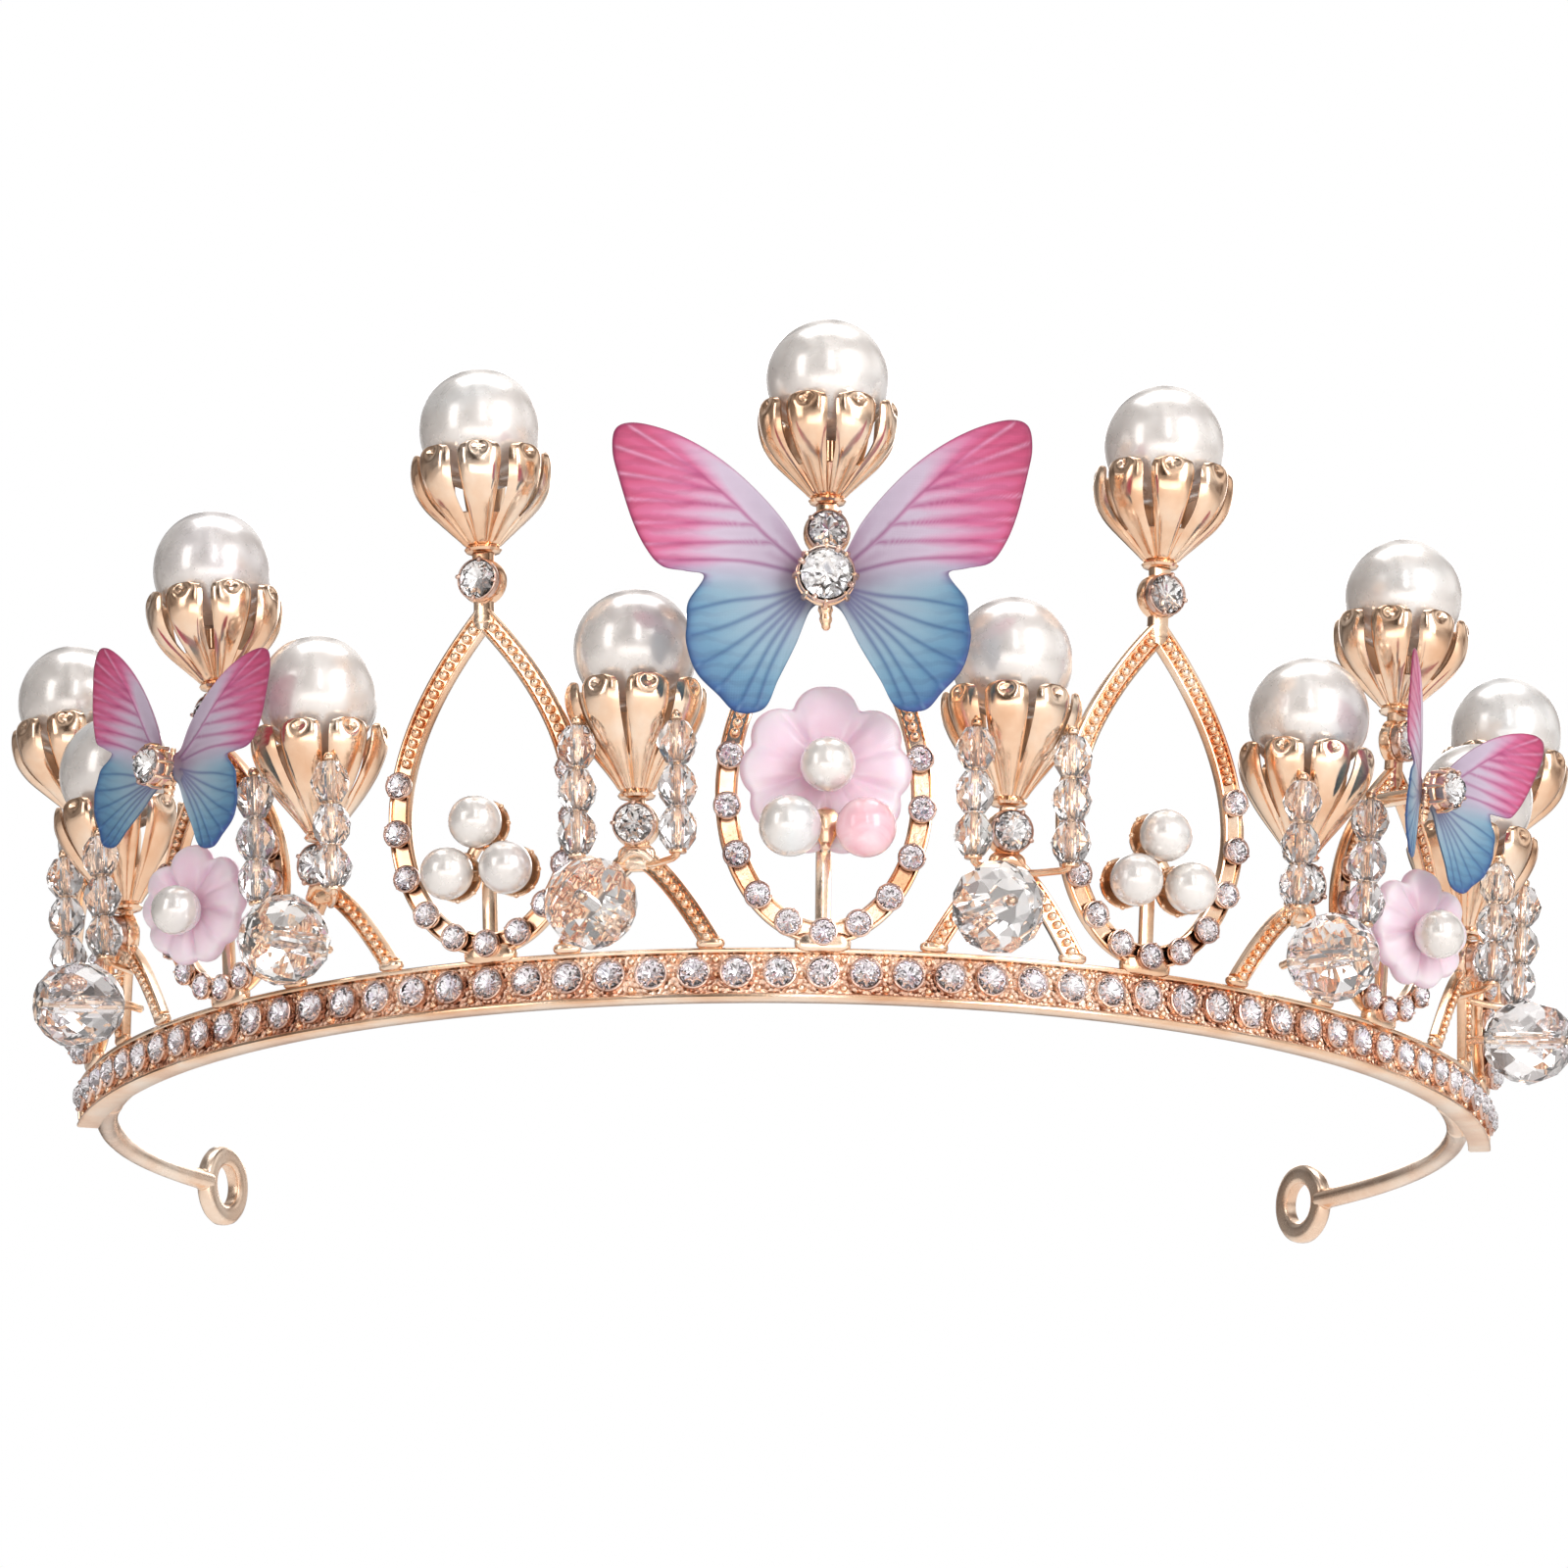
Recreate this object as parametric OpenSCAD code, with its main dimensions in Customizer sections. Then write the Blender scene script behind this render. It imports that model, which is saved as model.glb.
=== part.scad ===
// Pearl and butterfly tiara.
// A stone-set band bent to a little under half a circle carries seven tall
// teardrop loops and six low bridges. Each ends in a petal cup with a pearl.
// Flowers, pearl clusters, faceted beads and three fabric butterflies fill the
// gaps, and a wire arm with an eyelet runs back from each end of the band.
// +Z is up, the front faces -Y, and the band and the eyelets rest on z = 0.

/* [Band] */
// Radius of the band's front face
band_r = 70; // [68:0.5:74]
// Height of the band
band_h = 4.6; // [4.4:0.1:5.2]
// Thickness of the band
band_t = 2.2; // [2:0.1:2.6]
// Half of the angle that the band covers
band_half_angle = 80; // [79:0.5:81]
// Number of stones on each side of the middle stone
band_stones = 25; // [20:1:25]
// Diameter of a band stone with its setting
band_stone_d = 3.0; // [2.4:0.1:3.2]

/* [Tall loops] */
// Angle between neighbouring tall loops
tall_step = 24.6; // [24.2:0.1:24.8]
// Angle by which every upright leans outward
lean = 5.5; // [4.5:0.5:6.5]
// Half width of the middle loop at its strip's centre line
loop_a = 8.65; // [8.3:0.05:8.9]
// Width of the loop strip
loop_w = 2.0; // [1.8:0.1:2.2]
// Thickness of the loop strip
loop_t = 1.2; // [1:0.1:1.4]
// Height of the middle loop's point above the band's middle
apex_centre = 36.3; // [35.5:0.1:37]
// Height of the first side loops' point
apex_1 = 33.3; // [32.5:0.1:34]
// Height of the second side loops' point
apex_2 = 25.8; // [25.4:0.1:26.4]
// Height of the outer loops' point
apex_3 = 21.0; // [20.6:0.1:21.4]

/* [Low bridges] */
// Angle of the first low bridge from the middle
low_start = 13.4; // [13.2:0.1:13.6]
// Angle between neighbouring low bridges
low_step = 25.4; // [25.2:0.1:25.6]
// Height at which the two legs of a bridge meet
joint_v = 10.6; // [10.2:0.1:11]

/* [Pearls and cups] */
// Diameter of a large pearl
pearl_d = 11.2; // [10.6:0.1:11.4]
// Diameter of a cluster pearl
small_pearl_d = 4.8; // [4.4:0.1:5]
// Radius of a petal cup at its rim
cup_r = 6.5; // [6.3:0.1:6.7]
// Thickness of a petal
petal_t = 0.7; // [0.6:0.05:0.8]

/* [Stones and beads] */
// Diameter of a loop stone with its setting
loop_stone_d = 2.5; // [2.2:0.1:2.6]
// Diameter of a neck stone with its setting
neck_stone_d = 3.9; // [3.5:0.1:4]
// Diameter of a butterfly's middle stone
body_stone_d = 5.4; // [5:0.1:5.6]
// Diameter of a large faceted bead
big_bead_d = 8.4; // [7.8:0.1:8.6]
// Diameter of a small faceted bead
small_bead_d = 3.7; // [3.3:0.1:3.8]

/* [Butterflies] */
// Thickness of a fabric wing
wing_t = 0.4; // [0.3:0.05:0.5]
// Size of a side butterfly compared with the middle one
side_scale = 0.68; // [0.6:0.01:0.72]
// Forward fold of the middle butterfly's wings
fold_centre = 8; // [6:1:14]
// Forward fold of the left butterfly's outer wing
left_outer_fold = 5; // [2:1:20]
// Forward fold of the left butterfly's inner wing, backward when negative
left_inner_fold = -8; // [-8:1:12]
// Forward fold of the right butterfly's inner wing
right_inner_fold = 22; // [12:1:30]
// Forward fold of the right butterfly's outer wing
right_outer_fold = 16; // [8:1:24]

/* [Arms] */
// Diameter of the arm wire
wire_d = 2.1; // [1.9:0.1:2.2]
// Angle at which an arm ends, measured round the band's centre
arm_end_angle = 118; // [112:1:120]
// Outer diameter of an eyelet
eyelet_d = 8.4; // [8:0.1:8.6]
// Diameter of an eyelet's hole
eyelet_hole_d = 4.3; // [4:0.1:4.5]
// Thickness of an eyelet
eyelet_t = 1.7; // [1.6:0.1:1.9]

/* [Hidden] */
$fn = 48;

// distance from the band's centre forward to the middle of the whole tiara
centre_y = 22.818;
gold = "#d9a066";
clear = "#e8e4ea";
white = "#f6f3ef";
pink = "#f3cfe0";

band_mid = band_h / 2;
stone_step = (band_half_angle - 3) / band_stones;
pearl_r = pearl_d / 2;
sp_r = small_pearl_d / 2;

// one row per tall loop: angle, point height, half width, widest height, depth of the round end
tall = [for (s = [0, -1, -2, -3, 1, 2, 3])
    let (k = abs(s), va = [apex_centre, apex_1, apex_2, apex_3][k], a = loop_a - [0, 0.05, 0.65, 1.25][k],
         vc = va * [0.44, 0.465, 0.5, 0.54][k])
    [s * tall_step, va, a, vc, vc - 3.6]];
// one row per low bridge: angle, pearl height, left foot, right foot
low = [for (s = [-1, -2, -3, 1, 2, 3])
    let (k = abs(s) - 1, inner = [7.4, 8.4, 8.4][k], outer = [7.2, 4.4, 2.6][k])
    [sign(s) * (low_start + k * low_step), 29.4 - 0.6 * k, s < 0 ? outer : inner, s < 0 ? inner : outer]];
low_base = 15.8;
// how much lower than the first bridge's cup this one sits
function drop(B) = B[1] - 29.4;

// frame of a point on the band: X along it, -Y outward, Z up the leaning upright
module stand(phi) translate([0, centre_y, band_mid]) rotate([0, 0, phi]) translate([0, -band_r, 0]) rotate([lean, 0, 0]) children();
module slab(t, y0) translate([0, y0 + t, 0]) rotate([90, 0, 0]) linear_extrude(height = t) children();
module above_band() difference() { children(); translate([-90, centre_y - 90, -10]) cube([180, 180, band_h + 10.03]); }

// ---- teardrop outline ----
function tear_x(a, vc, va, v) = a * (1 - pow((v - vc) / (va - vc), 1.9));
function tear(a, b, vc, va, n = 22) = concat(
    [for (i = [0 : n]) let (t = -90 + 180 * i / n) [a * sin(t), vc - b * cos(t)]],
    [for (i = [1 : n / 2]) let (v = vc + (va - vc) * i / (n / 2)) [tear_x(a, vc, va, v), v]],
    [for (i = [n / 2 - 1 : -1 : 1]) let (v = vc + (va - vc) * i / (n / 2)) [-tear_x(a, vc, va, v), v]]);
// point on the strip's centre line, t degrees round from the bottom
function tear_at(L, t) = abs(t) <= 90 ? [L[2] * sin(t), L[3] - L[4] * cos(t)]
    : let (v = L[3] + (abs(t) - 90) * PI / 180 * L[4]) [sign(t) * tear_x(L[2], L[3], L[1], v), v];

// ---- stone in a round setting, standing on y = 0 and facing -Y ----
module stone(d, h) rotate([90, 0, 0]) rotate_extrude() polygon([[0, 0], [d / 2, 0], [d / 2, h * 0.45], [d * 0.42, h * 0.62], [d * 0.26, h], [0, h]]);

module base_band() color(gold) translate([0, centre_y, 0]) {
    rotate([0, 0, -90 - band_half_angle]) rotate_extrude(angle = 2 * band_half_angle, $fn = 180)
        polygon([[band_r + 0.2 - band_t, 0], [band_r + 0.2, 0], [band_r + 0.2, 0.45], [band_r - 0.25, 0.5],
            [band_r - 0.25, band_h - 0.5], [band_r + 0.2, band_h - 0.45], [band_r + 0.2, band_h], [band_r + 0.2 - band_t, band_h]]);
    // soldered start of each arm wire on the inner face
    for (s = [-1, 1]) rotate([0, 0, s > 0 ? -90 + 70 : -90 - band_half_angle + 0.4]) translate([0, 0, band_mid])
        rotate_extrude(angle = band_half_angle - 70.4, $fn = 48) translate([band_r + 0.25 - band_t - wire_d / 2, 0]) circle(d = wire_d, $fn = 24);
}
module band_rhinestones() color(clear) for (i = [-band_stones : band_stones])
    translate([0, centre_y, band_mid]) rotate([0, 0, i * stone_step]) translate([0, -band_r + 0.24, 0]) stone(band_stone_d, 1.3);

// ---- tall loop with its neck and the seat of its neck stone ----
module loop_part(L) color(gold) above_band() stand(L[0]) difference() {
    union() {
        slab(loop_t, -0.2) difference() {
            union() {
                polygon(tear(L[2] + loop_w / 2, L[4] + loop_w / 2, L[3], L[1] + loop_w * 0.7));
                translate([-2.2, 1.6]) square([4.4, 2.2]);
            }
            polygon(tear(L[2] - loop_w / 2, L[4] - loop_w / 2, L[3], L[1] - loop_w * 0.9));
        }
        slab(loop_t, -0.2) polygon([[-0.9, L[1] - 1.2], [0.9, L[1] - 1.2], [0.9, L[1] + 5.9], [-0.9, L[1] + 5.9]]);
        translate([0, 1, L[1] + 3.3]) rotate([90, 0, 0]) cylinder(r = neck_stone_d / 2 + 0.15, h = loop_t);
    }
}
module loop_stones(L, t0, t1) color(clear) stand(L[0]) for (t = [t0 : 21 : t1])
    let (p = tear_at(L, t)) translate([p[0], -0.21, p[1]]) stone(loop_stone_d, 1.1);

// ---- low bridge: two curved legs, a stem, a stone seat and two bead wires ----
function leg_v(s) = joint_v - (joint_v - 1.2) * pow(s, 1.45);
module leg(f) polygon(concat([for (i = [0 : 10]) [f * i / 10, leg_v(i / 10) + 0.9]], [for (i = [10 : -1 : 0]) [f * i / 10 - sign(f) * 0.5 * i / 10, leg_v(i / 10) - 0.9]]));
bead_v = [19.9, 16.0, 12.2];
bead_x = 4.5;
bead_y = -3.7;
module bridge(B) color(gold) above_band() stand(B[0]) {
    slab(1, 0) union() {
        leg(-B[2]);
        leg(B[3]);
        translate([-0.8, joint_v - 0.6]) square([1.6, low_base + drop(B) - joint_v + 0.5]);
    }
    translate([0, 1, 13.4 + drop(B)]) rotate([90, 0, 0]) cylinder(r = neck_stone_d / 2 + 0.1, h = 1.2);
    for (s = [-1, 1]) {
        translate([s * bead_x, bead_y, 9.6 + drop(B)]) cylinder(d = 0.7, h = 12.6, $fn = 16);
        translate([s * bead_x, bead_y, 9.6 + drop(B)]) sphere(d = 0.9, $fn = 16);
        translate([s * bead_x, bead_y, 9.8 + drop(B)]) rotate([0, 0, s * atan((bead_x - 0.6) / (0.5 - bead_y))]) rotate([-90, 0, 0])
            cylinder(d = 0.7, h = norm([bead_x - 0.6, 0.5 - bead_y]), $fn = 16);
    }
}

// ---- petal cup: eight petals on a neck, with a peg for the pearl ----
tall_bulge = [0.48, 0.74, 0.89, 0.96];
low_bulge = [0.42, 0.64, 0.81, 0.94];
module cup_profile(h, peg, q) let (r = cup_r, t = petal_t) polygon([[0, 0], [1.2, 0], [1.3, 0.6], [1.8, 1.45], [r * q[0], h * 0.27],
    [r * q[1], h * 0.45], [r * q[2], h * 0.62], [r * q[3], h * 0.77], [r, h * 0.9], [r, h], [r - t * 0.9, h], [r * q[3] - t, h * 0.77], [r * q[2] - t, h * 0.62 + 0.1],
    [r * q[1] - t, h * 0.45 + 0.2], [r * q[0] - t, h * 0.27 + 0.5], [1, h * 0.27 + 0.2], [1, peg], [0, peg]]);
module petal_cup(phi, v, h, peg, q) color(gold) stand(phi) translate([0, 0.4, v]) difference() {
    rotate_extrude() cup_profile(h, peg, q);
    for (i = [0 : 7]) rotate([0, 0, 45 * i]) translate([3.3, -0.4, h * 0.44]) cube([8, 0.8, 12]);
}
tall_h = 9.0;
tall_pearl = 11.4;
low_h = 10.2;
low_pearl = 13.4;
module tall_cup(L) petal_cup(L[0], L[1] + 5.95, tall_h, tall_pearl - pearl_r - 0.02, tall_bulge);
module low_cup(B) petal_cup(B[0], low_base + drop(B), low_h, low_pearl - pearl_r - 0.02, low_bulge);

module tall_pearls() color(white) for (L = tall) stand(L[0]) translate([0, 0.4, L[1] + 5.95 + tall_pearl]) sphere(r = pearl_r);
module low_pearls() color(white) for (B = low) stand(B[0]) translate([0, 0.4, low_base + drop(B) + low_pearl]) sphere(r = pearl_r);
module neck_rhinestones() color(clear) {
    for (L = tall) stand(L[0]) translate([0, -0.21, L[1] + 3.3]) stone(neck_stone_d, 1.7);
    for (B = low) stand(B[0]) translate([0, -0.21, 13.4 + drop(B)]) stone(neck_stone_d, 1.7);
}

// ---- pearl clusters inside the loops ----
trio = [[0, 14.3], [-2.85, 9.9], [2.85, 9.9]];
module setting() rotate([90, 0, 0]) difference() { cylinder(r = sp_r * 0.92, h = 0.8); translate([0, 0, -1]) cylinder(r = sp_r * 0.77, h = 3); }
module side_cluster_mount(s) let (L = tall[s < 0 ? 1 : 4]) color(gold) stand(L[0]) {
    slab(0.8, 0) union() {
        for (p = trio) translate(p) circle(r = sp_r * 0.92);
        polygon([trio[0], trio[1], trio[2]]);
        translate([-0.7, L[3] - L[4] + loop_w / 2 + 0.12]) square([1.4, 6]);
    }
    for (p = trio) translate([p[0], 0.05, p[1]]) setting();
}
module side_cluster_pearls(s) let (L = tall[s < 0 ? 1 : 4]) color(white) {
    stand(L[0]) for (p = trio) translate([p[0], -sp_r - 0.03, p[1]]) sphere(r = sp_r);
    side_flower_at(s) translate([0, -1.33 - 2.3, -0.9]) sphere(r = 2.3);
}
flower_v = 17.7;
module centre_cluster_mount() let (L = tall[0]) color(gold) stand(0) {
    slab(0.8, 0) union() {
        translate([0, flower_v]) circle(r = 2.6);
        for (x = [-3.3, 3.3]) translate([x, 12]) circle(r = 1.8);
        translate([-3.3, 11.2]) square([6.6, 1.6]);
        translate([-0.7, L[3] - L[4] + loop_w / 2 + 0.12]) square([1.4, 13]);
    }
    translate([0, 0.1, flower_v]) rotate([90, 0, 0]) cylinder(r = 0.9, h = 1.4);
    for (x = [-3.3, 3.3]) translate([x, 0.1, 12]) rotate([90, 0, 0]) cylinder(r = 0.8, h = 2.9);
    for (x = [-3.3, 3.3]) translate([x, -2.8, 12]) rotate([90, 0, 0]) cylinder(r1 = 0.8, r2 = 1.9, h = 0.6);
}
module centre_cluster_pearls() color(white) stand(0) {
    translate([-3.3, -3.42 - 2.75, 12]) sphere(r = 2.75);
    translate([0, -2.53 - 2.45, flower_v]) sphere(r = 2.45);
}
module pink_bead() color("#f2b3bd") stand(0) translate([3.3, -3.42 - 2.65, 12]) sphere(r = 2.65);

// ---- five-petalled flower; the upright petal has one lobe and the others have two ----
module flower_blank(R) slab(1.2, -1.2) union() {
    circle(r = R * 0.62);
    for (i = [0 : 4], s = [-1, 1]) rotate(72 * i + s * (i == 1 ? 4 : 18)) translate([R * 0.66, 0]) circle(r = R * 0.34);
}
module centre_flower() color(pink) stand(0) translate([0, -1.32, flower_v]) difference() {
    rotate([0, -18, 0]) flower_blank(7.6);
    for (x = [-3.3, 3.3]) translate([x, 2, 12 - flower_v]) rotate([90, 0, 0]) cylinder(r = 0.9, h = 6);
}
// the side flowers stand in the second loops and turn a little to the front
module side_flower_at(s) stand(tall[s < 0 ? 2 : 5][0]) translate([0, -2.9, 11]) rotate([0, 0, -s * 18]) children();
module side_flower(s) color(pink) side_flower_at(s) translate([0, -0.1, 0]) rotate([0, -18, 0]) flower_blank(5.6);
module flower_mount(s) let (L = tall[s < 0 ? 2 : 5], v0 = L[3] - L[4] + loop_w / 2 + 0.12) color(gold) {
    stand(L[0]) slab(0.8, 0) union() {
        translate([-0.7, v0]) square([1.4, 11.6 - v0]);
        translate([0, 11]) circle(r = 1.7);
    }
    stand(L[0]) translate([0, 0.1, 11]) rotate([90, 0, 0]) cylinder(r = 0.8, h = 2.4);
}

// ---- butterflies ----
// outline of a wing pair, x outward from the fold, for one side at full size
wing_pts = [[0.2, 2.2], [1.9, 5.1], [4.3, 7.9], [7, 10.3], [9.8, 12.1], [12.6, 13.3], [15.2, 13.8], [16.7, 13.2], [17, 11.2], [16.5, 8.8], [15.5, 5.3], [14.4, 2.8],
    [13, 1], [10.9, 0.3], [9.2, 0.3], [10.8, -2.1], [11, -3.9], [11.1, -5.8], [10.3, -8.3], [8.5, -10.3], [6.9, -11.9], [4.5, -11.6], [3.1, -9], [1.5, -5.9], [0.2, -2.8]];
function cr(a, b, c, d, t) = 0.5 * (2 * b + (c - a) * t + (2 * a - 5 * b + 4 * c - d) * t * t + (3 * b - a - 3 * c + d) * t * t * t);
function smooth(p, m = 4) = let (n = len(p)) [for (i = [0 : n - 1], j = [0 : m - 1]) cr(p[(i + n - 1) % n], p[i], p[(i + 1) % n], p[(i + 2) % n], j / m)];
// butterfly data: band angle, fold position x, height, stand-off, scale, forward fold and upward turn of the left and right wings, sideways reach of the post
flies = [[0, -0.6, 33.6, 7.2, 1, [fold_centre, fold_centre - 4], [-3, 2], 0],
    [tall[2][0], 2.7, 22.9, 7.5, side_scale, [left_outer_fold, left_inner_fold], [23, -4], 0.3],
    [tall[5][0], -5.3, 22.6, 6.7, side_scale, [right_inner_fold, right_outer_fold], [8, -8], 1.95]];
root_x = 1.5;
module fly_at(F) stand(F[0]) translate([F[1], -F[3], F[2]]) children();
module wing(F, s) color(pink) fly_at(F) translate([s * root_x, 0, 0]) rotate([0, 0, -s * F[5][s < 0 ? 0 : 1]]) rotate([0, -s * F[6][s < 0 ? 0 : 1], 0])
    slab(wing_t, -wing_t / 2) scale(F[4]) polygon([for (p = smooth(wing_pts)) [s * p[0], p[1]]]);
module fly_mount(F) let (a = atan(F[7] / (F[3] + 1.1))) color(gold) fly_at(F) {
    translate([0, -1.4, 0]) rotate([0, 0, -a]) rotate([-90, 0, 0]) cylinder(r = 0.75, h = (F[3] + 1.1) / cos(a) - 0.75 * tan(a));
    translate([0, -1.3, 0]) rotate([90, 0, 0]) cylinder(r = body_stone_d / 2 * (F[4] < 1 ? 0.72 : 1), h = 0.6);
    rotate([0, (F[6][0] - F[6][1]) / 2, 0]) translate([0, 0, -4.2 * F[4] - 0.3]) cylinder(r = 0.55, h = 7.4 * F[4]);
}
module butterfly_rhinestones() color(clear) for (F = flies) fly_at(F) translate([0, -1.91, 0]) stone(body_stone_d * (F[4] < 1 ? 0.68 : 0.96), 1.8);

// ---- faceted beads ----
module bead(d, h, bore) rotate_extrude() polygon([[bore, -h / 2], [d * 0.27, -h / 2], [d * 0.43, -h * 0.26], [d / 2, 0], [d * 0.43, h * 0.26], [d * 0.27, h / 2], [bore, h / 2]]);
// band angle, height and side offset of each large bead
big = [[low[0][0], 5.6, -2.8], [low[1][0], 5.3, 0.4], [low[2][0], 4.8, 2.8], [low[3][0], 5.6, -2.8], [low[4][0], 5.3, -1.8], [low[5][0], 4.8, 1.6]];
module large_crystals() color(clear) for (b = big) stand(b[0]) translate([b[2], -1.7 - big_bead_d / 2, b[1]]) rotate([90, 0, 0]) bead(big_bead_d, big_bead_d * 0.9, 0.6);
module small_crystals() color(clear) for (B = low) stand(B[0]) for (s = [-1, 1], v = bead_v) translate([s * bead_x, bead_y, v + drop(B)]) bead(small_bead_d, 3.6, 0.42);

// ---- wire arm with its eyelet ----
arm_gap = 0.4;
// the arm rises just enough for the eyelet to stand on z = 0
arm_ring = band_r + 0.25 - band_t - wire_d / 2;
arm_turn = arm_end_angle - band_half_angle - arm_gap;
arm_tilt = asin((eyelet_d / 2 + 0.01 - band_mid) / (arm_ring * sin(arm_turn) + (eyelet_d / 2 - 0.5) * cos(arm_turn)));
module arm() color(gold)
    translate([0, centre_y, band_mid]) rotate([0, 0, band_half_angle + arm_gap]) translate([0, -arm_ring, 0]) rotate([0, -arm_tilt, 0]) translate([0, arm_ring, 0]) {
        rotate([0, 0, -90]) rotate_extrude(angle = arm_turn) translate([arm_ring, 0]) circle(d = wire_d, $fn = 24);
        rotate([0, 0, arm_turn]) translate([eyelet_d / 2 - 0.5, -arm_ring, 0]) rotate([90, 0, 0]) rotate_extrude()
            polygon([[eyelet_hole_d / 2, -0.55], [eyelet_hole_d / 2 + 0.3, -eyelet_t / 2], [eyelet_d / 2 - 0.5, -eyelet_t / 2], [eyelet_d / 2, -0.4],
                [eyelet_d / 2, 0.4], [eyelet_d / 2 - 0.5, eyelet_t / 2], [eyelet_hole_d / 2 + 0.3, eyelet_t / 2], [eyelet_hole_d / 2, 0.55]]);
    }

base_band();
band_rhinestones();
loop_part(tall[0]);  // centre_loop
loop_part(tall[1]);  // left_loop_1
loop_part(tall[2]);  // left_loop_2
loop_part(tall[3]);  // left_loop_3
loop_part(tall[4]);  // right_loop_1
loop_part(tall[5]);  // right_loop_2
loop_part(tall[6]);  // right_loop_3
loop_stones(tall[0], -105, 105);  // centre_loop_rhinestones
for (i = [1 : 3]) loop_stones(tall[i], -105, 105);  // left_loop_rhinestones
for (i = [4 : 6]) loop_stones(tall[i], -105, 105);  // right_loop_rhinestones
bridge(low[0]);  // left_bridge_1
bridge(low[1]);  // left_bridge_2
bridge(low[2]);  // left_bridge_3
bridge(low[3]);  // right_bridge_1
bridge(low[4]);  // right_bridge_2
bridge(low[5]);  // right_bridge_3
tall_cup(tall[0]);  // centre_petal_cup
tall_cup(tall[1]);  // left_tall_petal_cup_1
tall_cup(tall[2]);  // left_tall_petal_cup_2
tall_cup(tall[3]);  // left_tall_petal_cup_3
tall_cup(tall[4]);  // right_tall_petal_cup_1
tall_cup(tall[5]);  // right_tall_petal_cup_2
tall_cup(tall[6]);  // right_tall_petal_cup_3
low_cup(low[0]);  // left_low_petal_cup_1
low_cup(low[1]);  // left_low_petal_cup_2
low_cup(low[2]);  // left_low_petal_cup_3
low_cup(low[3]);  // right_low_petal_cup_1
low_cup(low[4]);  // right_low_petal_cup_2
low_cup(low[5]);  // right_low_petal_cup_3
tall_pearls();
low_pearls();
neck_rhinestones();
centre_cluster_mount();
side_cluster_mount(-1);  // left_cluster_mount
side_cluster_mount(1);  // right_cluster_mount
flower_mount(-1);  // left_flower_mount
flower_mount(1);  // right_flower_mount
centre_cluster_pearls();
side_cluster_pearls(-1);  // left_cluster_pearls
side_cluster_pearls(1);  // right_cluster_pearls
pink_bead();
centre_flower();
side_flower(-1);  // left_flower
side_flower(1);  // right_flower
fly_mount(flies[0]);  // centre_butterfly_mount
fly_mount(flies[1]);  // left_butterfly_mount
fly_mount(flies[2]);  // right_butterfly_mount
butterfly_rhinestones();
wing(flies[0], -1);  // centre_butterfly_left_wing
wing(flies[0], 1);  // centre_butterfly_right_wing
wing(flies[1], -1);  // left_butterfly_left_wing
wing(flies[1], 1);  // left_butterfly_right_wing
wing(flies[2], -1);  // right_butterfly_left_wing
wing(flies[2], 1);  // right_butterfly_right_wing
large_crystals();
small_crystals();
mirror([1, 0, 0]) arm();  // left_arm
arm();  // right_arm
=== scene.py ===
import math

import bpy
import numpy as np
from mathutils import Matrix, Vector


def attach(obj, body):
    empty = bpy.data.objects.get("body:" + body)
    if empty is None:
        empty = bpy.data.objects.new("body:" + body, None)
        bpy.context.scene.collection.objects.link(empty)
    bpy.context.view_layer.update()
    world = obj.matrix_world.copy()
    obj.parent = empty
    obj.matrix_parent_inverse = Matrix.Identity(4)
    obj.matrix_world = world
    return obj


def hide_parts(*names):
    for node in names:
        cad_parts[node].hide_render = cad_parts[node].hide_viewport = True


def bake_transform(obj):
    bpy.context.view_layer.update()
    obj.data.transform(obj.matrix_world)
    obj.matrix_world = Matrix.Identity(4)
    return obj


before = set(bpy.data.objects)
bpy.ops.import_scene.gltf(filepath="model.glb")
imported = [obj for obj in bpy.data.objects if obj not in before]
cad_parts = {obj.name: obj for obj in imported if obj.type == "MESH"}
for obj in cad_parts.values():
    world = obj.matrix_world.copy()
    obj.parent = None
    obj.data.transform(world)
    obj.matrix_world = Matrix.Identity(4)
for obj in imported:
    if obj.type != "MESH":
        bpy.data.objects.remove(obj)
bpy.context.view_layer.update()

# Everything is drawn in millimetres, in the CAD model's own frame, and scaled to metres as each mesh is made.
FRAME = "tiara_frame"
CENTRE_Y, BAND_MID, BAND_R, LEAN = 22.818, 2.3, 70.0, 5.5
RNG = np.random.default_rng(7)


# ------------------------------------------------------------------ geometry helpers
def tr(x, y, z):
    m = np.eye(4)
    m[:3, 3] = (x, y, z)
    return m


def rot(axis, deg):
    return np.array(Matrix.Rotation(math.radians(deg), 4, axis))


def grow(x, y=None, z=None):
    return np.diag([x, x if y is None else y, x if z is None else z, 1.0])


def stand(phi):
    """Frame of a point on the band: x along it, -y outward, z up the leaning upright."""
    return tr(0, CENTRE_Y, BAND_MID) @ rot("Z", phi) @ tr(0, -BAND_R, 0) @ rot("X", LEAN)


FACE = rot("X", 90)  # turns a shape's +z to -y, which is outward


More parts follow.
